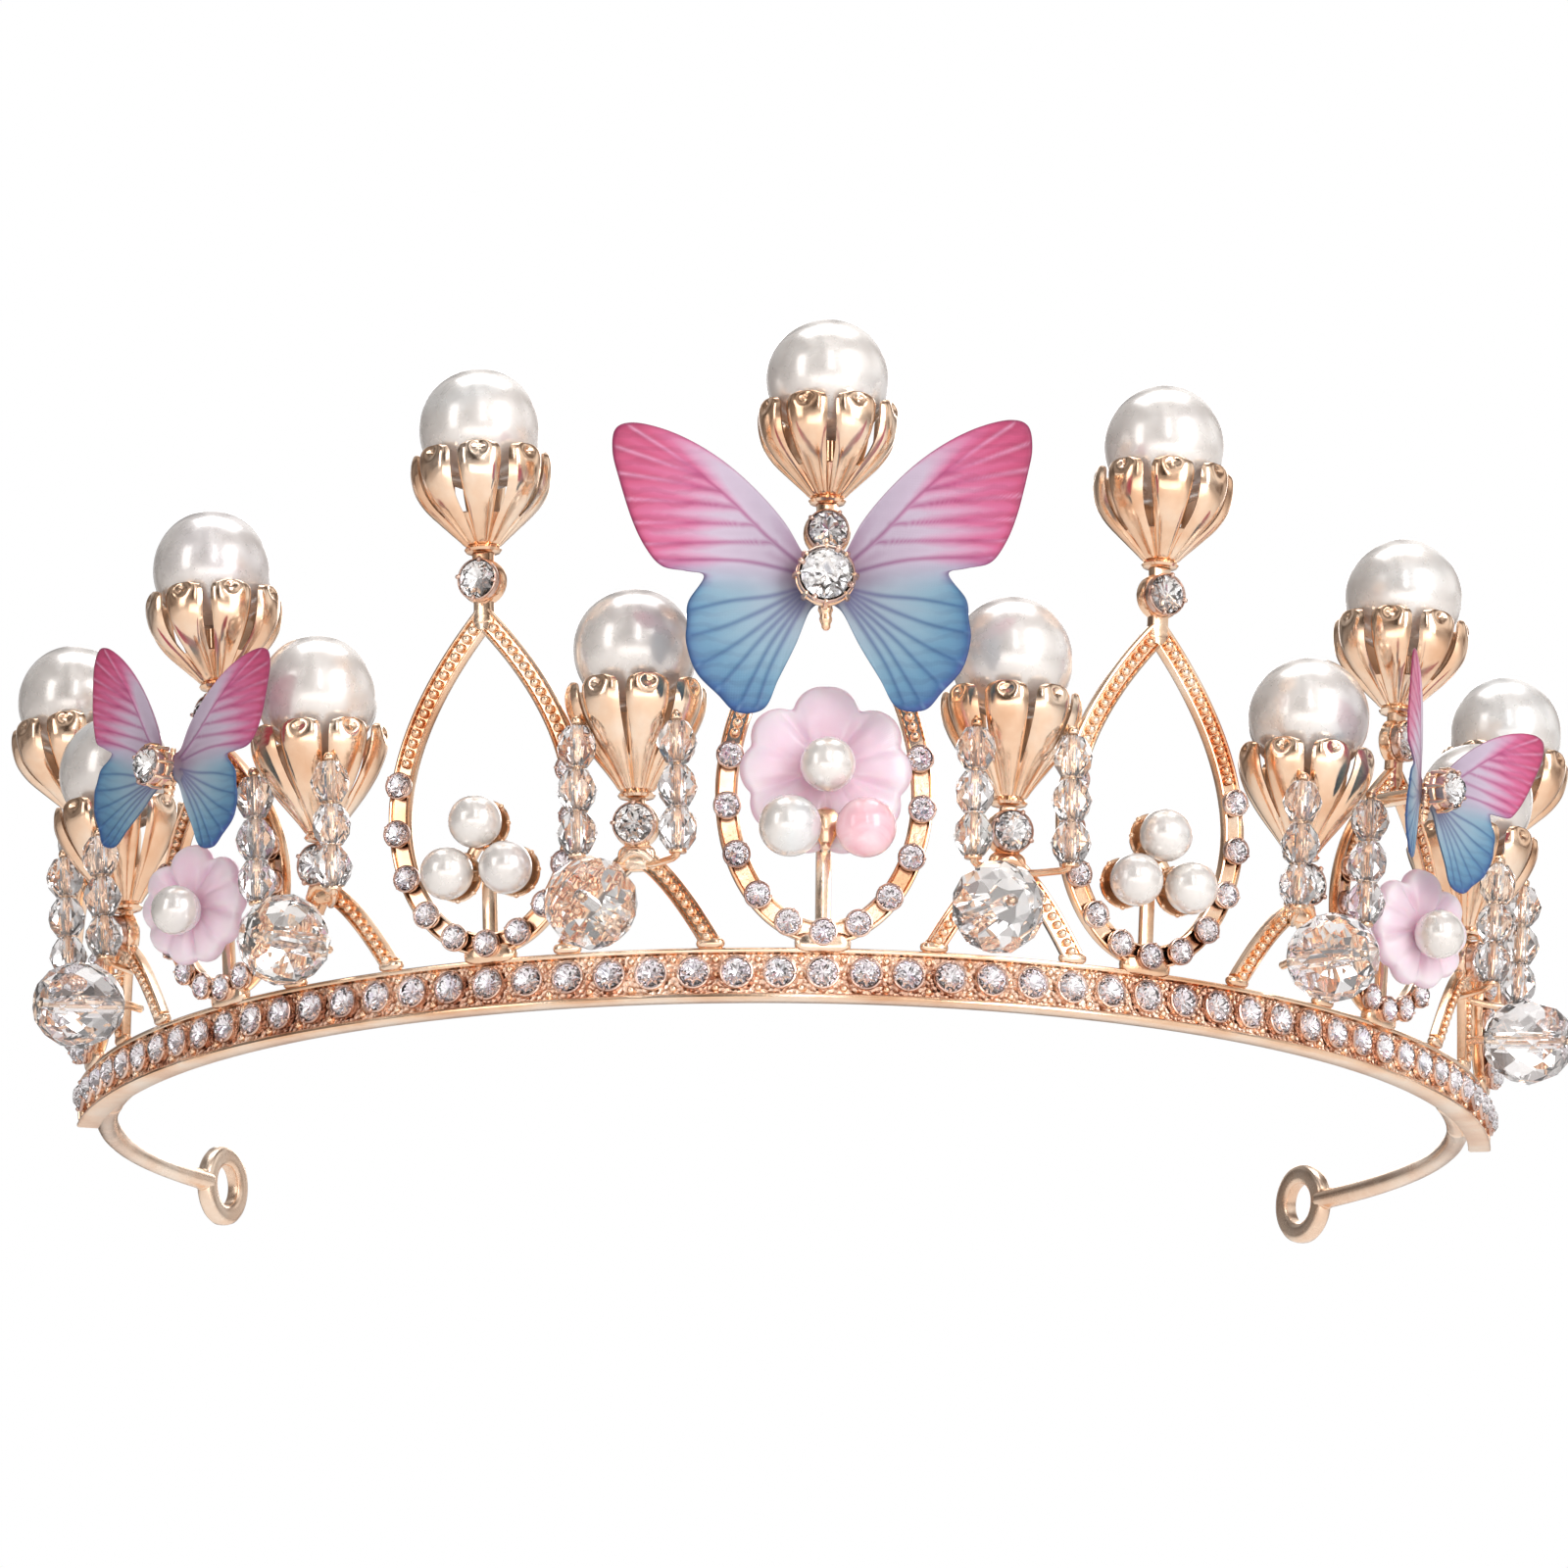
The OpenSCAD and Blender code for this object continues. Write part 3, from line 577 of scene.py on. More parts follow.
def facet_bead(d, h, n, rings, bore):
    """A cut glass bead with its bore. rings are (radius share, height share) from the end to the middle; rows of facets alternate."""
    seq = [(r, z) for r, z in rings] + [(r, -z) for r, z in rings[::-1] if z > 1e-6]
    v, f = [], []

    def ring(k, r, z, turn):
        at = len(v)
        v.extend([(r * math.cos(2 * math.pi * (i + turn) / k), r * math.sin(2 * math.pi * (i + turn) / k), z) for i in range(k)])
        return at

    ids = [ring(n, r * d, z * h, 0.5 * (i % 2)) for i, (r, z) in enumerate(seq)]
    for i in range(len(seq) - 1):
        a, b, odd = ids[i], ids[i + 1], i % 2
        for j in range(n):
            q = (j + 1) % n
            if not odd:  # b is half a step ahead of a
                f += [(a + j, a + q, b + j), (a + q, b + q, b + j)]
            else:
                f += [(b + j, b + q, a + j), (b + q, a + q, a + j)]
    top_t, bot_t = 0.0, 0.5 * ((len(seq) - 1) % 2)
    it, ib = ring(n, bore, h * seq[0][1], top_t), ring(n, bore, h * seq[-1][1], top_t)
    for j in range(n):
        q = (j + 1) % n
        f.append((ids[0] + q, ids[0] + j, it + j, it + q))
        f.append((it + q, it + j, ib + j, ib + q))
        if bot_t == 0:
            f.append((ids[-1] + j, ids[-1] + q, ib + q, ib + j))
        else:
            f += [(ids[-1] + j, ib + q, ib + j), (ids[-1] + j, ids[-1] + q, ib + q)]
    g = Geo(v, f, 0, False, solid=False)
    # make the winding agree everywhere, then face it outward
    import bmesh
    bm = bmesh.new()
    bv = [bm.verts.new(p) for p in g.v]
    for face in f:
        try:
            bm.faces.new([bv[i] for i in face])
        except ValueError:
            pass
    bmesh.ops.recalc_face_normals(bm, faces=bm.faces[:])
    bm.verts.index_update()
    faces = [tuple(x.index for x in fc.verts) for fc in bm.faces]
    bm.free()
    return Geo(g.v, faces, 0, False)


def petal_cup(h, bulge):
    """Eight spoon petals on a neck. Each is rounded like a finger, dished near its tip, and the tip's rim rolls outward."""
    st = np.array([0.07, 0.13, 0.2, 0.28, 0.36, 0.44, 0.52, 0.60, 0.68, 0.76, 0.83, 0.885, 0.93, 0.965, 0.99, 1.0])
    rr = np.interp(st, [0.07, 0.16, 0.27, 0.44, 0.60, 0.76, 0.88, 0.955, 1.0], bulge)
    ww = np.interp(st, [0.07, 0.2, 0.3, 0.45, 0.6, 0.75, 0.85, 0.92, 0.96, 0.985, 1.0], [0.55, 0.88, 1.14, 1.46, 1.76, 1.98, 2.06, 2.02, 1.84, 1.48, 0.85])
    rib = np.interp(st, [0.07, 0.3, 0.6, 0.78, 0.88, 0.95, 1.0], [0.16, 0.38, 0.36, 0.26, 0.2, 0.12, 0.0])
    dent = 0.5 * np.exp(-((st - 0.925) * h / 0.42) ** 2)
    tt = np.interp(st, [0.07, 0.3, 0.7, 0.95, 1.0], [0.5, 0.62, 0.72, 0.72, 0.5])
    fine = np.linspace(0, len(st) - 1, 40)
    st, rr, ww, rib, dent, tt = (np.interp(fine, range(len(st)), x) for x in (st, rr, ww, rib, dent, tt))
    rr[1:-1] = (np.convolve(np.pad(rr, 2, mode="edge"), np.ones(5) / 5, "valid"))[1:-1]
    us = np.linspace(-1, 1, 15)
    rows = []
    for z, r, w, rb, dn, t in zip(st * h, rr, ww, rib, dent, tt):
        outer = [(w * u, r + rb * (1 - abs(u) ** 2.6) - dn * math.exp(-(u * w / 0.5) ** 2) - 0.3 * t * max(0, abs(u) - 0.75) / 0.25) for u in us]
        inner = [(w * 0.92 * u, r + rb * 0.4 * (1 - u * u) - t * (1 - 0.25 * u ** 4)) for u in us[::-1]]
        rows.append([(rad * math.cos(x / max(r, 1.5)), rad * math.sin(x / max(r, 1.5)), z) for x, rad in outer + inner])
    one = loft(rows)
    eight = [one.at(rot("Z", 22.5 + 45 * i)) for i in range(8)]
    b = np.interp([0.16, 0.26, 0.34], [0.07, 0.16, 0.27, 0.44, 0.60, 0.76, 0.88, 0.955, 1.0], bulge)
    calyx = lathe([(0, 0), (1.15, 0), (1.28, 0.25), (1.2, 0.5), (1.38, 0.8), (b[0] - 0.2, 0.16 * h), (b[1] - 0.25, 0.26 * h), (b[2] - 0.2, 0.335 * h),
                   (b[2] - 0.6, 0.36 * h), (b[1] - 0.7, 0.31 * h), (1.2, 0.27 * h), (0, 0.26 * h)], 32)
    collar = lathe([(1.1, -0.05), (1.55, 0.05), (1.7, 0.28), (1.55, 0.5), (1.1, 0.6)], 28, loop=True)
    return join(eight + [calyx, collar])


def peg(z0, z1):
    return lathe([(0, z0), (0.9, z0), (0.9, z1 - 0.1), (0.75, z1), (0, z1)], 16)


# ------------------------------------------------------------------ the band
def arc(r, z, a):
    t = math.radians(a)
    return (r * math.sin(t), CENTRE_Y - r * math.cos(t), z)


def band():
    prof = [(70.20, 0.14), (70.20, 0.34), (70.12, 0.46), (69.9, 0.50), (69.78, 0.58), (69.75, 0.7), (69.75, 3.9), (69.78, 4.02), (69.9, 4.10),
            (70.12, 4.14), (70.20, 4.26), (70.20, 4.46), (70.1, 4.57), (69.96, 4.6), (68.25, 4.6), (68.08, 4.55), (68.0, 4.4), (68.0, 0.2),
            (68.08, 0.05), (68.25, 0.0), (69.96, 0.0), (70.1, 0.03)]
    mats = [1 if 4 <= i <= 6 else 0 for i in range(len(prof))]
    body = loft([[arc(r, z, a) for r, z in prof] for a in np.linspace(-80, 80, 281)], mat=mats)
    bits = [body]
    pts = []
    for i in range(-26, 26):
        a = (i + 0.5) * 3.08
        if abs(a) > 79:
            continue
        for z in (1.02, 2.3, 3.58):
            pts.append((a, z))
    for a, z in pts:
        r = 0.36 if abs(z - 2.3) > 0.1 else 0.26
        bits.append(GRAIN.at(tr(*arc(69.82, z, a)) @ rot("Z", a) @ grow(r, r * 0.8, r)))
    for sgn in (-1, 1):
        a0, a1 = (70.0, 79.6)
        wire = tube([arc(67.0, 2.3, sgn * a) for a in np.linspace(a0, a1, 14)], 1.05, 16)
        bits.append(wire)
        for a in (71.2, 75.0, 78.8):  # solder along the wire
            bits.append(blob(1.1, 0.55, 1.0, 16, 10).at(tr(*arc(67.85, 2.25 + 0.1 * math.sin(a * 3), sgn * a)) @ rot("Z", sgn * a)))
        # closed end of the channel
        bits.append(blob(0.42, 1.12, 2.26, 16, 14, 0.5).at(tr(*arc(69.1, 2.3, sgn * 79.7)) @ rot("Z", sgn * 79.7)))
    return join(bits)


make("band_look", band(), [GOLD, GOLD_PEBBLE], ["base_band"])


def set_stones(name, places, nodes, foil=None):
    """places are (matrix, diameter, height). The stones stand for the CAD node, and their settings are a piece of their own."""
    units, st, cu = {}, [], []
    for i, (m, d, h) in enumerate(places):
        if (d, h) not in units:
            units[(d, h)] = rhinestone(d, h, 0.88 if d > 3.5 else 0.82)
        s, c = units[(d, h)]
        spin = rot("Z", float(RNG.uniform(0, 45)))
        tip = rot("X", float(RNG.uniform(-3, 3))) @ rot("Y", float(RNG.uniform(-3, 3)))
        st.append(s.at(m @ tip @ spin))
        cu.append(c.at(m @ spin))
    make(name + "_look", join(st), [GLASS, foil or FOIL], nodes, sharp=None)
    make(name + "_settings", join(cu), [GOLD_CUP_SHADED], ())


set_stones("band_rhinestones", [(tr(*arc(69.76, 2.3, i * 3.08)) @ rot("Z", i * 3.08) @ FACE, 3.0, 1.3) for i in range(-25, 26)], ["band_rhinestones"])

# ------------------------------------------------------------------ tall loops
STRIP = [(-0.60, 0.16), (-0.70, -0.12), (-0.80, -0.20), (-0.93, -0.17), (-1.0, -0.02), (-1.0, 0.68), (-0.93, 0.86), (-0.75, 0.97), (0, 1.0), (0.75, 0.97),
         (0.93, 0.86), (1.0, 0.68), (1.0, -0.02), (0.93, -0.17), (0.80, -0.20), (0.70, -0.12), (0.60, 0.16)]


def tear_path(L, n=40):
    pts = [tear_at(L, t) for t in np.linspace(0, 90, n)]
    vs = np.linspace(L["vc"], L["va"] - 0.15, n)[1:]
    pts += [(tear_x(L, v), v) for v in vs]
    right = pts
    left = [(-x, v) for x, v in right[::-1]]
    return right, [(0.0, L["va"])] if abs(right[-1][0]) > 0.2 else [], left[:-1]


def seat(r, y0, y1, rim=0.0):
    """A flat round plate that faces outward, between y0 (back) and y1 (front)."""
    h = y0 - y1
    return lathe([(0, 0), (r * 0.93, 0), (r, h * 0.15), (r, h * 0.8), (r * 0.93, h), (0, h)], 28).at(tr(0, y0, 0) @ FACE)


def loop_part(L):
    right, top, left = tear_path(L)
    path = right + top + left
    bits = [ribbon(path, STRIP, closed=True)]
    for side in (right, left[::-1]):
        arm = [(x, v) for x, v in side if v > tear_at(L, 112)[1]]
        pts = along(arm, 0.9, 0.2, 1.3)
        bits.append(grains([(x, -0.1, v) for x, v in pts], 0.45, 0.85))
    va = L["va"]
    # the arms run together into a waisted neck
    bits.append(ribbon([(0, v) for v in np.linspace(va - 1.1, va + 5.9, 12)],
                       [(-0.8, -0.1), (-0.55, -0.2), (0.55, -0.2), (0.8, -0.1), (0.9, 0.4), (0.8, 0.9), (0.5, 1.0), (-0.5, 1.0), (-0.8, 0.9), (-0.9, 0.4)],
                       width=[0.7, 0.95, 1.05, 1, 1, 1, 1, 1, 1, 1, 1.05, 1.1]))
    bits.append(seat(2.1, 1.0, -0.2).at(tr(0, 0, va + 3.3)))
    bits.append(blob(1.1, 0.5, 0.8, 16, 10).at(tr(0, 0.25, va - 0.2)))
    # foot, soldered to the band's top
    bits.append(blob(2.5, 0.75, 0.95, 20, 12, 0.6).at(tr(0, 0.42, 2.75)))
    return join(bits).at(stand(L["phi"]))


for L in TALL:
    make(TALL_NAME[L["s"]] + "_look", loop_part(L), [GOLD], [TALL_NAME[L["s"]]])


def loop_places(rows):
    out = []
    for L in rows:
        for t in range(-105, 106, 21):
            x, v = tear_at(L, t)
            out.append((stand(L["phi"]) @ tr(x, -0.21, v) @ FACE, 2.5, 1.1))
    return out


set_stones("centre_loop_rhinestones", loop_places(TALL[:1]), ["centre_loop_rhinestones"])
set_stones("left_loop_rhinestones", loop_places(TALL[1:4]), ["left_loop_rhinestones"])
set_stones("right_loop_rhinestones", loop_places(TALL[4:]), ["right_loop_rhinestones"])
set_stones("neck_rhinestones", [(stand(L["phi"]) @ tr(0, -0.21, L["va"] + 3.3) @ FACE, 3.9, 1.7) for L in TALL]
           + [(stand(B["phi"]) @ tr(0, -0.21, 13.4 + B["drop"]) @ FACE, 3.9, 1.7) for B in LOW], ["neck_rhinestones"], FOIL_CLEAR)

# ------------------------------------------------------------------ low bridges
LEG = [(-0.52, 0.22), (-0.66, 0.0), (-0.80, 0.0), (-0.9, 0.1), (-0.9, 0.75), (-0.8, 0.93), (-0.5, 1.0), (0.5, 1.0), (0.8, 0.93), (0.9, 0.75), (0.9, 0.1),
       (0.80, 0.0), (0.66, 0.0), (0.52, 0.22)]


def leg_v(s):
    return 10.6 - 9.4 * s ** 1.45


def bridge(B):
    d = B["drop"]
    bits = []
    for f in (-B["left"], B["right"]):
        path = [(f * s, leg_v(s)) for s in np.linspace(1, 0, 26)]
        keep = [(x, v) for x, v in path if v > 2.45]
        bits.append(ribbon(keep, LEG))
        bits.append(grains([(x, -0.04, v) for x, v in along(keep, 0.88, 0.5, 0.9)], 0.41, 0.85))
        bits.append(blob(1.3, 0.62, 0.55, 16, 10).at(tr(keep[0][0], 0.5, 2.65)))
    # folded metal where the legs meet, then the stem up to the cup
    bits.append(blob(1.75, 0.72, 1.25, 22, 14, 0.7).at(tr(0, 0.42, 10.5)))
    bits.append(tube([(-1.5, -0.1, 10.0), (-0.7, -0.42, 10.75), (0, -0.5, 10.95), (0.7, -0.42, 10.75), (1.5, -0.1, 10.0)], [0.3, 0.42, 0.46, 0.42, 0.3], 10))
    bits.append(ribbon([(0, v) for v in np.linspace(10.2, 15.7 + d, 8)], [(-0.7, 0.05), (-0.5, 0.0), (0.5, 0.0), (0.7, 0.05), (0.8, 0.5), (0.7, 0.95), (0.5, 1.0),
                                                                       (-0.5, 1.0), (-0.7, 0.95), (-0.8, 0.5)]))
    bits.append(seat(2.05, 1.0, -0.2).at(tr(0, 0, 13.4 + d)))
    for s in (-1, 1):
        z0 = 9.8 + d
        back = [(s * 0.6, 0.5, z0), (s * 2.4, -1.2, z0 - 0.05), (s * 3.9, -2.9, z0), (s * 4.35, -3.5, z0 + 0.15), (s * 4.5, -3.7, z0 + 0.6)]
        up = [(s * 4.5, -3.7, z0 + 0.6 + x) for x in np.linspace(0.4, 11.8, 10)]
        bits.append(tube(back + up, 0.33, 10))
        bits.append(ball(0.52, 12, 8).at(tr(s * 4.5, -3.7, 22.2 + d)))
        bits.append(lathe([(0.3, -0.12), (0.75, -0.1), (0.8, 0.05), (0.75, 0.2), (0.3, 0.22)], 16, loop=True).at(tr(s * 4.5, -3.7, 10.15 + d)))
    return join(bits).at(stand(B["phi"]))


for B in LOW:
    n = f"{'left' if B['s'] < 0 else 'right'}_bridge_{abs(B['s'])}"
    make(n + "_look", bridge(B), [GOLD], [n])

# ------------------------------------------------------------------ petal cups and large pearls
TALL_CUP = petal_cup(9.0, [1.42, 2.2, 3.15, 4.75, 5.70, 6.14, 6.24, 6.18, 6.02])
LOW_CUP = petal_cup(10.2, [1.42, 1.95, 2.75, 4.1, 5.15, 5.95, 6.2, 6.18, 6.02])
TALL_CUP, LOW_CUP = join([TALL_CUP, peg(2.2, 5.75)]), join([LOW_CUP, peg(2.5, 7.75)])
for L in TALL:
    n = "centre_petal_cup" if L["s"] == 0 else f"{'left' if L['s'] < 0 else 'right'}_tall_petal_cup_{abs(L['s'])}"
    make(n + "_look", TALL_CUP.at(stand(L["phi"]) @ tr(0, 0.4, L["va"] + 5.95)), [GOLD_PETAL], [n])
for B in LOW:
    n = f"{'left' if B['s'] < 0 else 'right'}_low_petal_cup_{abs(B['s'])}"
    make(n + "_look", LOW_CUP.at(stand(B["phi"]) @ tr(0, 0.4, 15.8 + B["drop"])), [GOLD_PETAL], [n])


def pearls(places, name, nodes):
    """Moulded pearls: round, each drawn in at its drilled ends and none quite alike."""
    out = []
    for m, r in places:
        n, k = (56, 40) if r > 4 else (36, 26)
        b = ball(r, n, k)
        u = b.v / np.linalg.norm(b.v, axis=1)[:, None]
        ph = RNG.uniform(0, 6.28, 4)
        wob = 1 + 0.004 * np.sin(3 * u[:, 0] + ph[0]) + 0.004 * np.sin(4 * u[:, 2] + ph[1]) + 0.003 * np.sin(5 * u[:, 1] + ph[2]) - 0.007
        pole = np.clip((np.abs(u[:, 2]) - 0.965) / 0.035, 0, 1)
        wob = wob - 0.012 * pole ** 2
        b.v = b.v * wob[:, None]
        out.append(b.at(m))
    make(name, join(out), [PEARL], nodes, sharp=None)


pearls([(stand(L["phi"]) @ tr(0, 0.4, L["va"] + 5.95 + 11.4), 5.6) for L in TALL], "tall_pearls_look", ["tall_pearls"])
pearls([(stand(B["phi"]) @ tr(0, 0.4, 15.8 + B["drop"] + 13.4), 5.6) for B in LOW], "low_pearls_look", ["low_pearls"])

# ------------------------------------------------------------------ pearl clusters
TRIO = [(0, 14.3), (-2.85, 9.9), (2.85, 9.9)]


def small_setting(r):
    """A shallow dish with a scalloped rim, opening outward."""
    dish = lathe([(0, 0.0), (r * 0.7, 0.0), (r * 0.9, 0.25), (r * 0.98, 0.7), (r * 0.94, 0.95), (r * 0.85, 0.9), (r * 0.75, 0.45), (r * 0.4, 0.2), (0, 0.16)], 24)
    return join([dish] + [GRAIN.at(rot("Z", 45 * i) @ tr(r * 0.93, 0, 0.88) @ grow(0.26)) for i in range(8)]).at(FACE)


def flat_bar(path, w=0.7, y0=0.8, y1=0.0):
    m = (y0 + y1) / 2
    return ribbon(path, [(-w, m), (-w * 0.85, y1 + 0.08), (-w * 0.5, y1), (w * 0.5, y1), (w * 0.85, y1 + 0.08), (w, m), (w * 0.85, y0 - 0.08), (w * 0.5, y0),
                         (-w * 0.5, y0), (-w * 0.85, y0 - 0.08)])


for sgn, row in ((-1, 1), (1, 4)):
    L = TALL[row]
    side = "left" if sgn < 0 else "right"
    v0 = L["vc"] - L["b"] + 1.12
    bits = [flat_bar([(0, v) for v in np.linspace(v0 - 0.1, v0 + 5.9, 8)])]
    for a, b in ((0, 1), (1, 2), (2, 0)):
        bits.append(flat_bar([np.array(TRIO[a]) + (np.array(TRIO[b]) - TRIO[a]) * t for t in np.linspace(0, 1, 6)], 0.55))
    for x, v in TRIO:
        bits.append(small_setting(2.35).at(tr(x, 0.7, v)))
    make(f"{side}_cluster_mount_look", join(bits).at(stand(L["phi"])), [GOLD], [f"{side}_cluster_mount"])
    fl = stand(TALL[2 if sgn < 0 else 5]["phi"]) @ tr(0, -2.9, 11) @ rot("Z", -sgn * 18)
    pearls([(stand(L["phi"]) @ tr(x, -2.43, v) @ rot("X", 70), 2.4) for x, v in TRIO] + [(fl @ tr(0, -3.63, -0.9) @ rot("X", 80), 2.3)],
           f"{side}_cluster_pearls_look", [f"{side}_cluster_pearls"])

L0 = TALL[0]
v0 = L0["vc"] - L0["b"] + 1.12
bits = [flat_bar([(0, v) for v in np.linspace(v0 - 0.1, 17.0, 10)]), flat_bar([(x, 12.0) for x in np.linspace(-3.9, 3.9, 8)], 0.8),
        seat(2.6, 0.8, 0.0).at(tr(0, 0, 17.7)), tube([(0, 0.1, 17.7), (0, -0.7, 17.7), (0, -1.3, 17.7)], 0.9, 16)]
for x in (-3.3, 3.3):
    bits.append(tube([(x, 0.1, 12), (x, -1.4, 12), (x, -2.8, 12)], 0.78, 16))
    bits.append(small_setting(2.2).at(tr(x, -2.85, 12)))
# bright folded leaf between the two lower beads
bits.append(tube([(0, -1.7, 14.3), (0, -2.4, 13.7), (0, -2.8, 12.8), (0, -2.95, 11.8), (0, -2.85, 10.9)], [0.8, 1.5, 1.4, 0.95, 0.5], 16, flat=0.45))
bits.append(tube([(0, 0.3, 11.0), (0, -1.4, 10.8), (0, -2.9, 10.9)], 0.5, 12))
make("centre_cluster_mount_look", join(bits).at(stand(0)), [GOLD], ["centre_cluster_mount"])
pearls([(stand(0) @ tr(-3.3, -6.17, 12) @ rot("X", 75), 2.75), (stand(0) @ tr(0, -4.98, 17.7) @ rot("X", 80), 2.45)], "centre_cluster_pearls_look", ["centre_cluster_pearls"])
pb = ball(2.65, 40, 30)
pb.v *= (1 - 0.006 * np.abs(pb.v[:, 2:3] / 2.65) ** 8)
make("pink_bead_look", pb.at(stand(0) @ tr(3.3, -6.07, 12) @ rot("X", 70)), [PINK], ["pink_bead"], sharp=None)

# ------------------------------------------------------------------ resin flowers
def flower(R, thick=1.2):
    """Five petals, each with two lobes, crowned and creased, thin at the rim."""
    K, N = 240, 22
    th = np.arange(K) * 2 * math.pi / K
    reach = np.full(K, 0.62 * R)
    for i in range(5):
        for s in (-1, 1):
            d = th - math.radians(72 * i + s * (4 if i == 1 else 18))
            c, r = 0.66 * R, 0.34 * R
            q = r * r - (c * np.sin(d)) ** 2
            reach = np.where((q > 0) & (np.cos(d) > 0), np.maximum(reach, c * np.cos(d) + np.sqrt(np.maximum(q, 0))), reach)
    w = np.array([1, 2, 3, 2, 1]) / 9
    reach = sum(np.roll(reach, j - 2) * w[j] for j in range(5))
    lobe = np.abs((np.degrees(th) + 36) % 72 - 36)  # degrees from the petal's middle line
    crease = np.exp(-((36 - lobe) / 7.0) ** 2)      # between petals
    notch = np.exp(-(lobe / 5.5) ** 2) * ((np.degrees(th) < 36) | (np.degrees(th) > 108))  # between a petal's two lobes
    rows, uv = [], []
    front = np.concatenate([[0.05], np.linspace(0.14, 0.9, N - 6), [0.94, 0.97, 0.99, 1.0]])
    for q in front:
        top = thick * (0.72 + 0.28 * math.sqrt(max(0.0, 1 - q ** 5))) - 0.25 * thick
        belly = 0.62 * math.sin(math.pi * min(1, max(0, (q - 0.28) / 0.72))) ** 0.8
        y = -(0.25 * thick + top * (1 if q < 0.97 else 0.72 if q < 0.985 else 0.5 if q < 0.995 else 0.3) * 1.0
              + belly * (1 - 0.85 * crease) * (1 - 0.4 * notch) * 0.75 - 0.30 * crease * (q > 0.3) * math.sin(math.pi * min(1, (q - 0.3) / 0.7)))
        rows.append(np.stack([q * reach * np.cos(th), y, q * reach * np.sin(th)], 1))
        uv.append(np.stack([np.full(K, q), th / (2 * math.pi) * 5], 1))
    for q, y in ((0.995, -0.12 * thick), (0.97, -0.03), (0.9, 0.0), (0.5, 0.0), (0.05, 0.0)):
        rows.append(np.stack([q * reach * np.cos(th), np.full(K, y), q * reach * np.sin(th)], 1))
        uv.append(np.stack([np.full(K, q), th / (2 * math.pi) * 5], 1))
    g = loft(rows)
    g.uv = {"petal": np.concatenate(uv)}
    return g


make("centre_flower_look", flower(7.6).at(stand(0) @ tr(0, -1.32, 17.7) @ rot("Y", -18)), [RESIN], ["centre_flower"], sharp=None)
for sgn in (-1, 1):
    side = "left" if sgn < 0 else "right"
    L = TALL[2 if sgn < 0 else 5]
    at = stand(L["phi"]) @ tr(0, -2.9, 11) @ rot("Z", -sgn * 18)
    make(f"{side}_flower_look", flower(5.6).at(at @ tr(0, -0.1, 0) @ rot("Y", -18)), [RESIN], [f"{side}_flower"], sharp=None)
    v0 = L["vc"] - L["b"] + 1.12
    bits = [flat_bar([(0, v) for v in np.linspace(v0 - 0.1, 11.5, 9)]), seat(1.7, 0.8, 0.0).at(tr(0, 0, 11)), tube([(0, 0.1, 11), (0, -1.2, 11), (0, -2.3, 11)], 0.78, 14)]
    make(f"{side}_flower_mount_look", join(bits).at(stand(L["phi"])), [GOLD], [f"{side}_flower_mount"])

# ------------------------------------------------------------------ butterflies
WING = np.array([[-1.2, 1.2], [0.2, 2.2], [1.9, 5.1], [4.3, 7.9], [7, 10.3], [9.8, 12.1], [12.6, 13.3], [15.2, 13.8], [16.7, 13.2], [17, 11.2], [16.5, 8.8], [15.5, 5.3],
                 [14.4, 2.8], [13, 1.05], [11, 0.62], [9.35, 0.15], [10.8, -2.1], [11, -3.9], [11.1, -5.8], [10.3, -8.3], [8.5, -10.3], [6.9, -11.9], [4.5, -11.6],
                 [3.1, -9], [1.4, -5.9], [0.0, -2.9], [-1.2, -1.6]])
ROOT = np.array([-0.2, -0.3])
VEINS = [[(0, 0.9), (3.4, 3.7), (6.6, 6.9), (9.4, 9.3)], [(9.4, 9.3), (12.0, 11.2), (15.4, 13.4)], [(9.0, 9.0), (12.6, 10.2), (16.6, 11.6)],
         [(7.6, 7.7), (11.6, 8.5), (16.6, 9.3)], [(6.0, 6.3), (10.6, 6.7), (16.0, 7.0)], [(4.4, 4.8), (9.2, 4.9), (15.3, 4.9)], [(2.8, 3.3), (8.2, 3.2), (14.4, 3.0)],
         [(0.4, 0.5), (6.0, 1.6), (13.2, 1.5)],
         [(0, -0.6), (3.4, -1.5), (7.0, -2.0), (10.7, -2.9)], [(0.6, -1.0), (4.8, -3.1), (8.0, -4.4), (11.1, -5.2)], [(0.8, -1.3), (4.4, -4.2), (7.6, -6.4), (10.5, -7.9)],
         [(0.6, -1.6), (4.0, -4.9), (6.6, -7.8), (8.8, -10.2)], [(0.5, -1.9), (3.3, -5.4), (5.2, -8.6), (6.9, -11.8)], [(0.4, -2.1), (2.5, -5.6), (3.9, -8.2), (5.2, -11.5)]]


def smooth_line(p, m=12, closed=False):
    p = np.asarray(p, float)
    n = len(p)
    out = []
    for i in range(n if closed else n - 1):
        a, b, c, d = (p[(i + k) % n] if closed else p[min(max(i + k, 0), n - 1)] for k in (-1, 0, 1, 2))
        for t in np.arange(m) / m:
            out.append(0.5 * (2 * b + (c - a) * t + (2 * a - 5 * b + 4 * c - d) * t * t + (3 * b - a - 3 * c + d) * t ** 3))
    if not closed:
        out.append(p[-1])
    return np.array(out)


